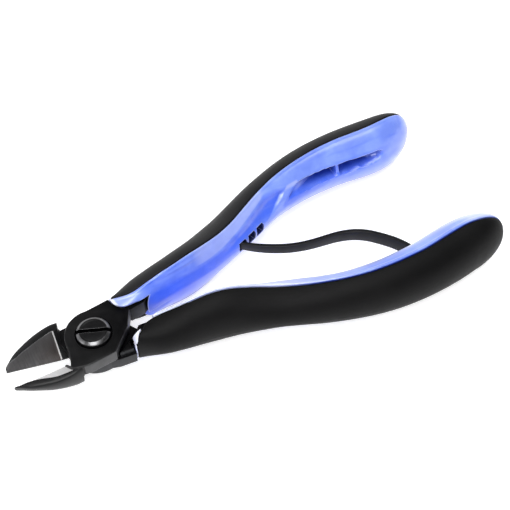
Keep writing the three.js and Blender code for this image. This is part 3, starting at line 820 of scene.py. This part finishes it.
# Each pair is x and z in half B's frame.
CREASE = ([-71.5, -69.5, -65, -59.7, -54, -49, -45, -40.5],
          [-5.1, -6.0, -6.2, -5.7, -4.9, -4.4, -3.9, -3.6])
CHANNEL_BOTTOM = ([-108.6, -107.8, -106.5, -104, -93, -88, -82, -77],
                  [-3.4, -4.3, -4.75, -4.62, -4.58, -4.98, -5.15, -5.3])
CHANNEL_TOP = (
    [-108.6, -107.8, -106.5, -104, -100, -96.6, -92.7, -88.7, -84.7, -80.5, -76.3, -73.6, -72.2,
     -70.4],
    [-3.0, -2.0, -1.15, -0.65, -0.4, -0.2, -0.5, -0.8, -1.1, -1.15, -1.45, -1.9, -1.75, -1.3],
)
# These pairs are z and x.
CHANNEL_FRONT = ([-5.3, -4.64, -2.84, -1.3], [-77.4, -75.0, -72.1, -70.3])
SCOOP_REAR = ([-5.6, -5.15, -3.65, -1.9, 0.0], [-73.0, -72.0, -70.0, -66.0, -60.5])


def crease(x):
    """Border of the long scoop on its -Z side, as z."""
    return np.interp(x, *CREASE)


def relief(x, z):
    """How deep the inner face is sunk at (x, z)."""
    # narrow channel in two chambers with a low rib between them; its front end slants
    across = smoothstep((z - np.interp(x, *CHANNEL_BOTTOM)) / 0.42)
    across = across * smoothstep((np.interp(x, *CHANNEL_TOP) - z) / 0.95)
    front = smoothstep((np.interp(z, *CHANNEL_FRONT) - x) / 1.5) * smoothstep((x + 91.75) / 0.45)
    rear = smoothstep((-92.85 - x) / 0.45) * smoothstep((x + 108.5) / 1.6)
    rib = smoothstep((-91.3 - x) / 0.4) * smoothstep((x + 93.3) / 0.4)
    front_depth = 1.15 + 3.1 * smoothstep((-75.0 - x) / 12)
    rear_depth = 4.3 - 2.4 * smoothstep((-100 - x) / 8.5)
    channel = across * np.maximum(front * front_depth + rear * rear_depth, 0.75 * rib)
    # long shallow scoop ahead of the channel, fading towards the front
    ahead = smoothstep((x - np.interp(z, *SCOOP_REAR)) / 1.1) * smoothstep((-38 - x) / 26)
    scoop = ahead * smoothstep((z - crease(x) + 1.0) / 3.0) * smoothstep((-0.8 - z) / 2.8)
    # broad flat ahead of the scoop
    flat = box_mask(x, -46, -17, 12, 4) * box_mask(z, -7.6, 0.5, 1.2, 4.5)
    return channel + 1.25 * scoop + 0.30 * flat


# ------------------------------------------------------------------ outlines (x, y)

DISC_R = 8.05
HEAD_W = 7.8  # half width of the head
PLATE = arc_points(DISC_R, 2, 104, 44) + [
    (-4.2, HEAD_W - 0.1), (-9.05, 7.55), (-9.05, 5.4), (-12.0, 4.9), (-12.0, 0.9),
    (-8.94, -3.25), (-3.04, -HEAD_W), (5.2, -HEAD_W), (7.4, -7.55), (8.6, -7.2),
    (10.1, -6.6), (10.3, -5.5), (9.38, -3.72), (8.61, -1.67), (8.25, -0.3),
]
# Plate corners moved outward on each half: corner, its new place.
WIDER_CORNERS = {
    "A": {(-3.04, -HEAD_W): (-1.9, -8.65), (5.2, -HEAD_W): (5.2, -8.25),
          (7.4, -7.55): (7.4, -7.8)},
    "B": {(-4.2, HEAD_W - 0.1): (-4.2, 8.3), (-9.05, 7.55): (-8.95, 8.35)},
}
PLATE_REAR = [
    (-8.0, 2.0), (-12.3, 0.95), (-16.6, 0.95), (-19.5, 2.5), (-19.5, 6.4), (-14.0, 5.9),
    (-8.6, 5.5), (-8.0, 5.5),
]
TANG_FRONT = [
    (-4.7, HEAD_W - 0.15), (-9.55, 4.2), (-12.3, 0.95), (-16.6, 0.95), (-19.5, 2.5),
    (-19.5, 6.4), (-14.0, 5.9), (-8.6, 5.5), (-8.6, HEAD_W - 0.15),
]
TANG_REAR = [
    (-17.0, 2.3), (-19.0, 2.6), (-26.0, 3.2), (-33.0, 3.6), (-45.0, 5.6), (-57.0, 9.2),
    (-68.0, 12.3), (-68.9, 13.9), (-68.0, 15.2), (-57.0, 12.4), (-45.0, 8.8), (-33.0, 7.0),
    (-26.0, 6.6), (-17.0, 6.3),
]
STEP_CUT = [(-9.65, FAR), (-9.65, 4.95), (-11.15, 2.45), (-12.3, 1.6), (-30, 0.9), (-30, FAR)]
JAW_REAR_CUT = [(9.78, 1), (7.89, -9.5), (0, -9.5), (0, 1)]
# Cuts in the plastic core.
TRIM = [
    (FAR, FAR), (-9.0, FAR), (-9.0, 5.1), (-9.6, 3.75), (-10.4, 2.7), (-11.3, 2.15),
    (-12.4, 1.9), (-14.6, 1.62), (-17.0, 1.25), (-17.0, -5), (FAR, -5),
]
SHAVE = [
    (-9.0, -5), (-9.0, 4.9), (-12.0, 4.7), (-16.6, 4.6), (-17.6, 3.2), (-20.5, 2.1),
    (-27.0, 0.6), (-27.0, -5),
]
WINDOW = [(-9.0, -5), (-9.0, 4.9), (-12.0, 4.7), (-16.4, 4.6), (-16.4, -5)]
SEATS_X = (-52.1, -56.0, -59.7)

# ------------------------------------------------------------------ leaf spring

# Centre line in the open tool, from the thin tip in half A to the root in half B.
SPRING_PATH = np.array([
    [-50.15, -9.9], [-51.6, -8.7], [-53.4, -7.0], [-55.6, -5.3], [-59.0, -3.1],
    [-62.9, -1.15], [-67.2, 0.15], [-71.8, 0.95], [-76.4, 1.72], [-80.6, 3.05],
    [-84.5, 5.4], [-87.8, 8.9], [-90.5, 12.6], [-92.4, 16.6], [-93.6, 20.4],
])
SPRING_TAPER = 9  # length over which the leaf thickens from its tip
SPRING_HALF_THICK = 0.6
TIP_HALF_HEIGHT = 1.55
ROOT_HALF_HEIGHT = 2.2


def spring_curve(count):
    """Evenly spaced points, their left normals and the length along the leaf."""
    bulge = 0.4 * box_mask(SPRING_PATH[:, 0], -92.5, -60, 3, 12)
    path = SPRING_PATH + np.c_[np.zeros(len(SPRING_PATH)), bulge]
    along = length_along(path)
    fine = np.linspace(0, along[-1], 600)
    columns = [hermite(fine, along, column) for column in path.T]
    path = np.stack([smoothed(column, reach=40, sigma=13.0) for column in columns], 1)
    along = length_along(path)
    even = np.linspace(0, along[-1], count)
    points = np.c_[np.interp(even, along, path[:, 0]), np.interp(even, along, path[:, 1])]
    tangent = np.gradient(points, axis=0)
    tangent /= np.hypot(*tangent.T)[:, None]
    return points, np.c_[-tangent[:, 1], tangent[:, 0]], even


def spring_room(half, side_gap=0.22, end_gap=0.2):
    """The space round the leaf, as a cutter in a half's closed frame."""
    points, normal, along = spring_curve(90)
    reach = np.interp(along, [0, SPRING_TAPER], [0.32, SPRING_HALF_THICK]) + side_gap
    left = points + normal * reach[:, None]
    right = points - normal * reach[:, None]
    outline = np.vstack([left, right[::-1]])
    outline = np.c_[turned(outline[:, 0], outline[:, 1], -HALF_TURN[half])]
    if half == "A":
        outline = outline * np.array([1, -1])
    height = (TIP_HALF_HEIGHT if half == "A" else ROOT_HALF_HEIGHT) + end_gap
    return seat_prism("spring_room", [tuple(v) for v in outline], -height, height)


def build_spring(corner=0.16):
    """A leaf with rounded long edges, thinner and lower at its tip."""
    points, normal, along = spring_curve(150)
    thick = np.interp(along, [0, SPRING_TAPER], [0.34, SPRING_HALF_THICK])
    growth = ROOT_HALF_HEIGHT - TIP_HALF_HEIGHT
    height = TIP_HALF_HEIGHT + growth * smoothstep((along - 6) / 45)
    height[:4] = [1.2, 1.42, 1.52, TIP_HALF_HEIGHT]
    rings = []
    for i in range(len(along)):
        wide, high = thick[i] - corner, height[i] - corner
        ring = []
        corners = ((wide, high, 0), (-wide, high, 90), (-wide, -high, 180), (wide, -high, 270))
        for centre, z, start in corners:
            for swing in (0, 30, 60, 90):
                angle = math.radians(start + swing)
                side = centre + corner * math.cos(angle)
                x, y = points[i] + normal[i] * side
                ring.append((x, y, z + corner * math.sin(angle)))
        rings.append(ring)
    return ring_solid("leaf_spring_blade", np.array(rings), [SPRING])


# ------------------------------------------------------------------ plastic core


def build_core(half):
    x = stations([-v for v in CORE_RIM_X] + [-9.48, -9.52, -9.55, -9.59, -9.66, -9.8])
    rim = np.interp(-x, CORE_RIM_X, CORE_RIM_INSET)
    recess = grip_depth(x) * smoothstep((-9.5 - x) / 0.08)
    above, below = (angle[:, None] for angle in seam(x))
    # outer side, recessed under the grip
    angle = -(below - 0.026) + (above + below - 0.052) * np.linspace(0, 1, 30)[None, :]
    outer, outer_z = section_points(x, angle, rim + recess)
    # inner side, denser near the seams
    even = np.linspace(0, 1, 125)
    spread = 0.45 * even + 0.55 * (1 - np.cos(np.pi * even)) / 2
    angle = above + (2 * np.pi - below - above) * spread[None, :]
    inner, inner_z = section_points(x, angle, rim)
    normal_out, normal_z, near = skin_frame(inner, inner_z)
    # low bead along the seams
    bead = 0.24 * smoothstep(near / 0.22) * (1 - smoothstep((near - 0.5) / 0.75))
    bead = bead * (smoothstep((-9.4 - x) / 1.0) * smoothstep((x + 121.0) / 5.0))[:, None]
    inner = inner + normal_out * bead
    inner_z = inner_z + normal_z * bead
    inner = inner + relief(x[:, None], inner_z) * smoothstep((-10.5 - x[:, None]) / 3.0)
    # seam walls between the skin and the recess: angle set back, share of the depth
    depth = np.minimum(recess, 0.8 * (at("thick", x) - rim))
    walls = []
    for edge in (above, below):
        rows = [
            section_points(x, edge - back, rim + share * depth + 0.002)
            for back, share in ((0.012, 0.75), (0.012, 0.3), (0.004, 0.04))
        ]
        walls.append([np.hstack(part) for part in zip(*rows)])
    (upper, upper_z), (lower, lower_z) = walls
    out = np.c_[outer, upper, inner, lower[:, ::-1]]
    z = np.c_[outer_z, upper_z, inner_z, -lower_z[:, ::-1]]
    if half == "B":
        # round corner at the front of the +Z side
        crown = at("thick", x) - rim - 4.3 * quarter_round((-8.8 - x) / 4.4)
        capped = np.minimum(z, crown[:, None] + 0.02 * np.tanh(out / 3))
        z = np.where(x[:, None] > -13.3, capped, z)
    return ring_solid(f"core_{half.lower()}_shell", stand(x, out, z), [CORE, CORE_IN_SHADE])


def inner_y(x):
    return at("crest", x) - at("inward", x)


def seat_cutter(x, length=2.7, height=3.5, depth=2.6):
    """A rectangular seat with a slightly flared mouth, square to the inner face."""
    y = float(inner_y(np.array(x)))
    slope = float(inner_y(np.array(x + 0.5)) - inner_y(np.array(x - 0.5)))
    cos, sin = math.cos(math.atan(slope)), math.sin(math.atan(slope))
    rings = []
    # distance into the core, growth of the opening
    for inward, grow in ((-3.0, 0.28), (-0.12, 0.26), (0.22, 0.0), (depth, -0.12)):
        long, high = length / 2 + grow, height / 2 + grow
        rings.append([
            (x + along * cos - inward * sin, y + along * sin + inward * cos, z)
            for along, z in ((-long, -high), (long, -high), (long, high), (-long, high))
        ])
    return ring_solid("seat", np.array(rings), [CORE_IN_SHADE])


def cut_core(core, half):
    """All the openings are first made one body, then taken out of the shell in one cut."""
    cutter = prism("trim", TRIM, -FAR, FAR, mats=[CORE, CORE_IN_SHADE])
    # the rooms carry the darker core plastic onto the faces they cut: painted shade
    rooms = [seat_prism("tang_room", grown(TANG_FRONT, 0.55), -4.4, 2.55)]
    if half == "A":
        rooms.append(prism("shave", SHAVE, 2.3, FAR, mats=[CORE]))
    rooms += [
        seat_prism("window", WINDOW, 1.9, FAR),
        seat_prism("plate_room", grown(PLATE, 0.16), -4.15, 0.16),
        spring_room(half),
    ]
    if half == "A":
        rooms += [seat_cutter(x) for x in SEATS_X]
    for room in rooms:
        boolean(cutter, room, "UNION")
    boolean(core, cutter)
    return tidy(core)


def tint(core, half):
    """Stores the painted sheen and white glare of the plastic at each vertex, in the closed half-B
    frame.
    """
    x, y, z = get_points(core).T
    crest = crest_near(x)
    inner = smoothstep((crest + 0.6 - y) / 1.0)
    past_crease = smoothstep((crease(x) + 0.6 - z) / 1.8)
    rear = smoothstep((-40 - x) / 40)
    front = smoothstep((x + 19) / 6)
    tail = smoothstep((-107 - x) / 6)
    upper = smoothstep((z - 0.5) / 3.0)
    mid = 2.6 * box_mask(x, -68, -28, 8, 10)
    # painted sheen: the inner face paler past the crease and to the rear, and paler at the front,
    # the tail and half B's upper side
    pale = (
        inner * (
            past_crease * (0.45 + 0.55 * rear + 0.3 * mid)
            + (0.55 if half == "B" else 0.05) * upper
            + 0.35 * rear * (1 - past_crease)
        )
        + 0.8 * front
        + 0.45 * tail * (1 - past_crease)
    )
    # less painted sheen, so deeper colour, in the scoop and along the channel
    scoop = box_mask(x, -71, -40, 3, 18)
    scoop = scoop * smoothstep((z - crease(x)) / 1.2) * smoothstep((-1.2 - z) / 1.6)
    channel = box_mask(x, -106, -72, 3, 3) * box_mask(z, -2.9, 2.2, 0.8, 2.0)
    pale = pale * (1 - 0.85 * scoop) * (1 - 0.6 * channel)
    # painted highlight on the slanted web between the scoop and the channel
    web = box_mask(z, -6.2, 0.5, 0.8, 2.5)
    web = web * smoothstep((np.interp(z, *SCOOP_REAR) - x + 0.4) / 0.8)
    web = web * smoothstep((x - np.interp(z, *CHANNEL_FRONT) + 0.4) / 0.8)
    pale = np.clip(np.clip(pale, 0, 1.22) + 0.7 * web, 0, 1.3)
    # painted highlight up to white glare: the collar at the grip's front, and half B's +Z flank
    pale = pale + 0.9 * smoothstep((x + 10.2) / 0.7)
    if half == "B":
        flank = (1 + 0.75 * smoothstep((x + 64) / 16)) * smoothstep((z - 0.8) / 2.2)
        flank = flank * smoothstep((crest + 2.0 - y) / 1.0)
        pale = pale + 0.7 * (flank * (0.2 + 0.8 * smoothstep((x + 84) / 34)))
    # how much painted grazing sheen shows: full on half B, a quarter on half A
    rim = np.full(len(x), 0.25 if half == "A" else 1.0)
    for name, values in (("pale", np.clip(pale, 0, 2)), ("rim", rim)):
        attribute = core.data.attributes.new(name, "FLOAT", "POINT")
        attribute.data.foreach_set("value", values.astype(np.float32))


# ------------------------------------------------------------------ soft grip


def build_grip(half):
    x = stations([GRIP_FRONT - d for d in (*GRIP_RIM_X, 0.8, 1.1)])
    rim = np.interp(GRIP_FRONT - x, GRIP_RIM_X, GRIP_RIM_INSET)
    above, below = seam(x)
    # a narrow gap at each seam
    gap = np.clip(0.28 / np.maximum(at("outward", x), 0.4), 0, 0.5)
    low, high = -(below - gap)[:, None], (above - gap)[:, None]
    # outer skin, denser near the seams
    even = np.linspace(-1, 1, 91)
    spread = (1 + 0.55 * even + 0.45 * np.sin(even * np.pi / 2)) / 2
    angle = low + (high - low) * spread[None, :]
    out, z = section_points(x, angle, rim)
    # rounded edges along the seams and a fine raised line on the -Z side
    normal_out, normal_z, near = skin_frame(out, z)
    edge = 0.45 * quarter_round(near / 0.5)
    scale = np.clip(at("thick", x) / 6, 0.1, 1)[:, None]
    line = 0.06 * np.exp(-(((np.degrees(angle) + 12) / 1.4) ** 2))
    move = line * (box_mask(x, -112, -13, 6, 3))[:, None] - edge * scale
    out, z = out + normal_out * move, z + normal_z * move
    # inner skin
    inset = grip_depth(x) - 0.08 + np.maximum(rim - 0.2, 0)
    angle = high + (low - high) * np.linspace(0, 1, 33)[None, :]
    inner, inner_z = section_points(x, angle, inset)
    inner = inner + 0.12 * np.cos(angle)
    rings = stand(x, np.c_[out, inner], np.c_[z, inner_z])
    return ring_solid(f"grip_{half.lower()}_shell", rings, [GRIP[half]])


# ------------------------------------------------------------------ steel

# x, edge z, then y and z (y outward, to be mirrored) of: rim, land, flank, lower flank, heel
JAW = np.array([
    [7.9, -3.5, 6.5, 3.75, 7.1, 3.8, 7.95, 2.9, 7.9, -2.6, 6.6, -3.8],
    [8.6, -3.42, 6.0, 3.78, 7.1, 3.8, 8.1, 2.85, 7.95, -2.5, 6.6, -3.75],
    [10.2, -3.28, 5.55, 3.75, 7.1, 3.75, 8.12, 2.7, 7.9, -2.3, 6.5, -3.65],
    [12.2, -2.9, 5.05, 3.52, 6.85, 3.5, 7.88, 2.35, 7.6, -1.9, 6.0, -3.4],
    [14.7, -2.4, 4.4, 3.25, 6.25, 3.15, 7.28, 2.0, 7.0, -1.3, 5.2, -3.05],
    [17.2, -1.88, 3.6, 2.95, 5.4, 2.78, 6.35, 1.75, 6.0, -0.7, 4.4, -2.5],
    [19.7, -1.38, 2.75, 2.62, 4.3, 2.42, 5.1, 1.5, 4.65, -0.1, 3.15, -2.0],
    [21.9, -0.94, 1.95, 2.3, 3.2, 2.1, 3.75, 1.3, 3.3, 0.2, 2.05, -1.55],
    [23.7, -0.58, 1.50, 1.92, 1.95, 1.75, 2.25, 1.1, 1.95, 0.3, 1.15, -1.25],
    [24.7, -0.38, 0.90, 1.45, 1.15, 1.35, 1.3, 0.85, 1.1, 0.25, 0.62, -0.9],
    [25.0, -0.3, 0.58, 1.0, 0.72, 0.90, 0.8, 0.6, 0.7, 0.2, 0.4, -0.6],
])
EDGE_Y = 0.07
BEVEL_BACK = 10.2
BEVEL_STEP = 0.32  # rise of the step behind the bevel
BORE_R = 3.06
COUNTERBORE_R = 5.2


def jaw_ring(x, row, step, half):
    """One section of the jaw, from the edge over the bevel, land and flank to the underside."""
    edge_z, rim_y, rim_z, land_y, land_z, flank_y, flank_z, low_y, low_z, heel_y, heel_z = row
    if half == "A":
        # wider bevel, and a softer land
        wide = float(smoothstep((20.5 - x) / 7.0))
        rim_y = rim_y + wide * max(0.0, min(1.1, land_y - rim_y - 0.3))
        rim_z = rim_z - 0.25 * wide
        soft = 0.85 * float(smoothstep((x - 8.6) / 2.0))
        land_y = land_y + soft * ((rim_y + flank_y) / 2 + 0.12 - land_y)
        land_z = land_z + soft * ((rim_z + flank_z) / 2 + 0.28 - land_z)
    ring = [(EDGE_Y, edge_z - 0.02), (EDGE_Y + step * 0.1, edge_z + 0.12 + step * 1.6)]
    # the bevel is slightly hollow
    hollow = 0.10 if step == 0 else 0
    for k in (0.3, 0.55, 0.8):
        z = edge_z + (rim_z - edge_z) * k - hollow * math.sin(math.pi * k)
        ring.append((EDGE_Y + (rim_y - step - EDGE_Y) * k, z))
    ring += [
        (rim_y - step, rim_z),
        ((rim_y - step + land_y) / 2, (rim_z + land_z) / 2 + 0.04),
        (land_y, land_z),
    ]
    # rounded shoulder from the land down to the flank
    for k in (0.25, 0.5, 0.75):
        angle = k * math.pi / 2
        y = land_y + (flank_y - land_y) * math.sin(angle)
        ring.append((y, land_z - (land_z - flank_z) * (1 - math.cos(angle))))
    ring += [
        (flank_y, flank_z),
        ((flank_y + low_y) / 2 + 0.05, (flank_z + low_z) / 2),
        (low_y, low_z),
    ]
    # rounded heel
    for k in (0.3, 0.6, 0.85):
        angle = k * math.pi / 2
        y = low_y - (low_y - heel_y) * (1 - math.cos(angle))
        ring.append((y, low_z + (heel_z - low_z) * math.sin(angle)))
    ring.append((heel_y, heel_z))
    for k in (0.6, 0.25):
        z = edge_z + (heel_z - edge_z) * k - 0.02
        ring.append((EDGE_Y + (heel_y - EDGE_Y) * k, z))
    if half == "A":
        # smooth the land, flank and heel
        for _ in range(5):
            relaxed = [
                tuple((ring[i - 1][j] + 2 * ring[i][j] + ring[i + 1][j]) / 4 for j in (0, 1))
                for i in range(6, 17)
            ]
            ring = ring[:6] + relaxed + ring[17:]
    # the tip is cut back on its outer side
    skew = float(smoothstep((x - 21.0) / 4.0))
    return [(x + skew * (0.12 - 0.40 * min(y / 1.6, 1.0) ** 0.8), -y, z) for y, z in ring]


def build_jaw(half):
    xs = np.r_[
        7.9, 8.3, 8.8, 9.2, 9.55, BEVEL_BACK - 0.32, BEVEL_BACK + 0.02,
        np.arange(10.6, 24.6, 0.35), 24.7, 24.82, 24.9, 24.96, 25.0,
    ]
    rows = np.stack([hermite(xs, JAW[:, 0], JAW[:, k]) for k in range(1, 12)], 1)
    steps = np.where(xs < BEVEL_BACK, BEVEL_STEP, 0.0)
    rings = [jaw_ring(x, row, step, half) for x, row, step in zip(xs, rows, steps)]
    jaw = ring_solid("jaw", np.array(rings), [STEEL])
    if half == "A":
        # half A is turned over later; mirrored here, its bevel ends on top like half B's
        set_points(jaw, get_points(jaw) * np.array([1, 1, -1]))
        orient(jaw)
    boolean(jaw, steel_prism("wall", JAW_REAR_CUT, -0.1, FAR))
    return jaw


def build_steel(half):
    """Plate, tang and jaw of one half, in half B's coordinates."""
    outline = [WIDER_CORNERS[half].get(corner, corner) for corner in PLATE]
    steel = steel_prism("plate", outline, -4.0, -0.1, bevel_low=0.4, segments=4)
    step = steel_prism("step", STEP_CUT, -4.65, -3.65)
    # lean the step's front wall forward at the bottom
    for vertex in step.data.vertices:
        if vertex.co.z < -4.6 and vertex.co.x > -12:
            vertex.co.x += 2.43
    boolean(steel, step)
    tang = steel_prism("tang_front", TANG_FRONT, -3.65, 2.0, bevel_high=0.3)
    boolean(steel, tang, "UNION")
    boolean(steel, steel_prism("plate_rear", PLATE_REAR, -3.65, -0.1), "UNION")
    tang = steel_prism(
        "tang_rear", TANG_REAR, -2.0, 2.0, bevel_low=0.3, bevel_high=0.3, segments=2)
    boolean(steel, tang, "UNION")
    boolean(steel, build_jaw(half), "UNION")
    boolean(steel, lathe("bore", [(BORE_R, -FAR), (BORE_R, FAR)], 128, [STEEL]))
    if half == "A":
        # counterbore for the screw head, on the plate's open side
        profile = [(COUNTERBORE_R, -30), (COUNTERBORE_R, -2.8)]
        boolean(steel, lathe("seat", profile, 128, [STEEL]))
    return tidy(steel)


def steel_finish(centre, normal, half):
    """The material of a steel face, from where it lies and how it faces."""
    x, y, z = centre
    up = normal.z if half == "B" else -normal.z
    # painted highlight on the step behind half B's bevel
    if half == "B" and abs(x - BEVEL_BACK + 0.15) < 0.12 and normal.x > 0.3 and -7.5 < y < 7.5:
        return STEP_HIGHLIGHT
    # painted sheen on a face of half A's step
    if half == "A" and -11.5 < x < -8.0 and z < -3.6 and normal.x < -0.2:
        if -0.99 < normal.z < -0.5:
            return SIDE_WEAR_AND_SHEEN
    if -17.5 < x < -9.0 and y > -1.5 and abs(normal.z) < 0.75 and normal.y < 0.2:
        return TANG
    # half A's bevel gets a painted reflection, half B's the ground steel
    if x > BEVEL_BACK - 0.01 and y < 0 and normal.y > 0.55 and up > 0.35:
        return BEVEL_REFLECTION if half == "A" else GROUND
    # side faces: half A's take the paler side finish, a painted sheen
    plate_back = -9.0 if half == "A" else -9.3
    if plate_back < x < 7.6 and abs(normal.z) < 0.62 and math.hypot(x, y) > 7.0:
        return SIDE_WEAR_AND_SHEEN if half == "A" else TANG
    return STEEL


def finish_steel(steel, half):
    with editing(steel) as edit:
        bmesh.ops.dissolve_limit(
            edit, angle_limit=math.radians(0.05), verts=edit.verts, edges=edit.edges,
            delimit={"MATERIAL"})
    slots = [STEEL, GROUND, TANG, CHAMFER, SIDE_WEAR_AND_SHEEN, STEP_HIGHLIGHT, BEVEL_REFLECTION]
    set_materials(steel, slots)
    for face in steel.data.polygons:
        face.material_index = slots.index(steel_finish(face.center, face.normal, half))


# ------------------------------------------------------------------ pivot screw

# Radius and z, from the shank's end up over the head.
SCREW_PROFILE = [
    (2.55, -4.0), (2.8, -3.92), (3.0, -3.7), (3.0, 2.84), (3.4, 2.86), (4.55, 2.86),
    (4.7, 2.92), (4.75, 3.05), (4.75, 4.5), (4.73, 4.66), (4.66, 4.80), (4.52, 4.93),
    (4.0, 5.28), (3.86, 5.37), (3.74, 5.43), (3.62, 5.45), (3.40, 5.44), (3.28, 5.40),
    (3.15, 5.37),
]
# Slot section, flared at its mouth: offset across the slot, z.
SLOT_SECTION = [
    (-0.66, 7.0), (-0.66, 5.5), (-0.58, 5.32), (-0.56, 4.22), (-0.45, 4.1), (0.45, 4.1),
    (0.56, 4.22), (0.58, 5.32), (0.66, 5.5), (0.66, 7.0),
]
SLOT_ANGLE = math.radians(-24.2)


def build_screw():
    """Slotted head with a broad chamfer, on a shank."""
    screw = lathe("pivot_screw_head", SCREW_PROFILE, 160, [SCREW])
    rings = [[(*turned(x, y, SLOT_ANGLE), z) for y, z in SLOT_SECTION] for x in (-8.0, 8.0)]
    boolean(screw, ring_solid("slot", np.array(rings), [SCREW]))
    tidy(screw)
    slots = [SCREW, CHAMFER, SLOT]
    set_materials(screw, slots)
    for face in screw.data.polygons:
        x, y, z = face.center
        radius = math.hypot(x, y)
        across = abs(turned(x, y, -SLOT_ANGLE)[1])
        finish = SCREW
        if across < 0.62 and 3.9 < z < 5.36 and radius < 4.74:
            finish = SLOT
        elif radius > 3.9 and face.normal.z > 0.25 and 4.6 < z < 5.36:
            finish = CHAMFER
        face.material_index = slots.index(finish)
    return screw


# ------------------------------------------------------------------ the object

for half in ("A", "B"):
    low = half.lower()
    core = cut_core(build_core(half), half)
    tint(core, half)
    place(core, crisp=40, half=half)
    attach(core, f"half_{low}")
    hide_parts(f"core_{low}")

    grip = build_grip(half)
    place(grip, crisp=50, half=half)
    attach(grip, f"half_{low}")
    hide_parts(f"grip_{low}")

    steel = build_steel(half)
    steel.name = f"half_{low}_head"
    finish_steel(steel, half)
    place(steel, crisp=28, half=half)
    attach(steel, f"half_{low}")
    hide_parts(f"half_{low}_steel")

screw = build_screw()
place(screw, crisp=30)
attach(screw, "screw")
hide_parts("pivot_screw")

spring = build_spring()
place(spring, crisp=40)
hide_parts("leaf_spring")
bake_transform(spring)

# ------------------------------------------------------------------ stage, light, camera (metres)

FLOOR_Z = -6.18 * MM
FLOOR_REACH = 3


def stage_material():
    """A pale floor that glows a little of its own."""
    mat = Shader("pale_floor")
    mat.nodes.remove(mat.bsdf)
    fleck = mat.noise(scale=60, detail=3, rough=0.5)
    tone = mat.tones(fleck, span=(0.3, 0.7), low=(0.80, 0.80, 0.81), high=(0.84, 0.84, 0.84))
    diffuse = mat.node("ShaderNodeBsdfDiffuse", {"Color": tone})
    glow = mat.node("ShaderNodeEmission", {"Color": (1, 1, 1, 1), "Strength": 0.55})
    both = mat.node("ShaderNodeAddShader", {0: diffuse.outputs[0], 1: glow.outputs[0]})
    mat.feed(mat.out.inputs[0], both.outputs[0])
    return mat.material


floor_corners = [
    (x * FLOOR_REACH, y * FLOOR_REACH, FLOOR_Z) for x, y in ((-1, -1), (1, -1), (1, 1), (-1, 1))
]
floor = new_object("floor", floor_corners, [(0, 1, 2, 3)], [stage_material()])


def sky(world, height, stops):
    """Brightness by the direction's z: stops are (z, brightness)."""
    node = world.node("ShaderNodeValToRGB", {0: height})
    ramp = node.color_ramp
    ramp.interpolation = "EASE"
    while len(ramp.elements) < len(stops):
        ramp.elements.new(0.5)
    for element, (position, level) in zip(ramp.elements, stops):
        element.position = position
        element.color = (level, level, level * 1.01, 1)
    return node.outputs[0]


def build_world():
    """A bright backdrop on -Y, behind the tool, and a dim room on the viewer's side."""
    scene.world = bpy.data.worlds.new("studio")
    scene.world.use_nodes = True
    world = Nodes(scene.world.node_tree)
    out = world.node("ShaderNodeOutputWorld")
    background = world.node("ShaderNodeBackground")
    direction = world.node("ShaderNodeTexCoord").outputs["Generated"]
    _, across, height = world.node("ShaderNodeSeparateXYZ", {0: direction}).outputs
    behind = sky(world, height, [(0.0, 1.5), (0.32, 1.6), (0.56, 0.75), (0.72, 0.10), (1.0, 0.04)])
    before = sky(world, height, [(0.0, 0.40), (0.25, 0.22), (0.50, 0.10), (0.75, 0.06), (1.0, 0.05)])
    side = world.remap(across, span=(-0.35, 0.25), to=(1.0, 0.0))
    world.feed(background.inputs[0], world.mix(side, before, behind))
    world.feed(background.inputs[1], 1.0)
    world.feed(out.inputs[0], background.outputs[0])


def softbox(name, location, size, power, size_y=None, target=(-0.045, 0.0, 0.004)):
    data = bpy.data.lights.new(name, "AREA")
    data.energy = power
    data.shape = "RECTANGLE"
    data.size = size
    data.size_y = size_y or size
    light = bpy.data.objects.new(name, data)
    scene.collection.objects.link(light)
    light.location = location
    aim = Vector(target) - Vector(location)
    light.rotation_euler = aim.to_track_quat("-Z", "Y").to_euler()


def build_camera():
    data = bpy.data.cameras.new("camera")
    data.sensor_width = 36.0
    data.lens = 73.3517647
    data.clip_start = 0.01
    data.clip_end = 20.0
    camera = bpy.data.objects.new("camera", data)
    scene.collection.objects.link(camera)
    right = Vector((-0.86738, 0.49752, -0.01076)).normalized()
    back = Vector((0.30057, 0.54104, 0.78545)).normalized()
    up = back.cross(right).normalized()
    pose = Matrix((right, up, back)).transposed().to_4x4()
    pose.translation = Vector((38.326 * MM, 159.855 * MM, (237.939 + LIFT) * MM))
    camera.matrix_world = pose
    scene.camera = camera


build_world()
softbox("key", location=(0.26, 0.46, 0.72), size=0.50, power=6.0)
softbox("top", location=(-0.12, 0.10, 0.85), size=0.55, power=3.5, size_y=0.40)
softbox("side", location=(0.60, -0.05, 0.30), size=0.30, power=0.8)
build_camera()
scene.view_settings.view_transform = "Standard"
scene.view_settings.look = "None"
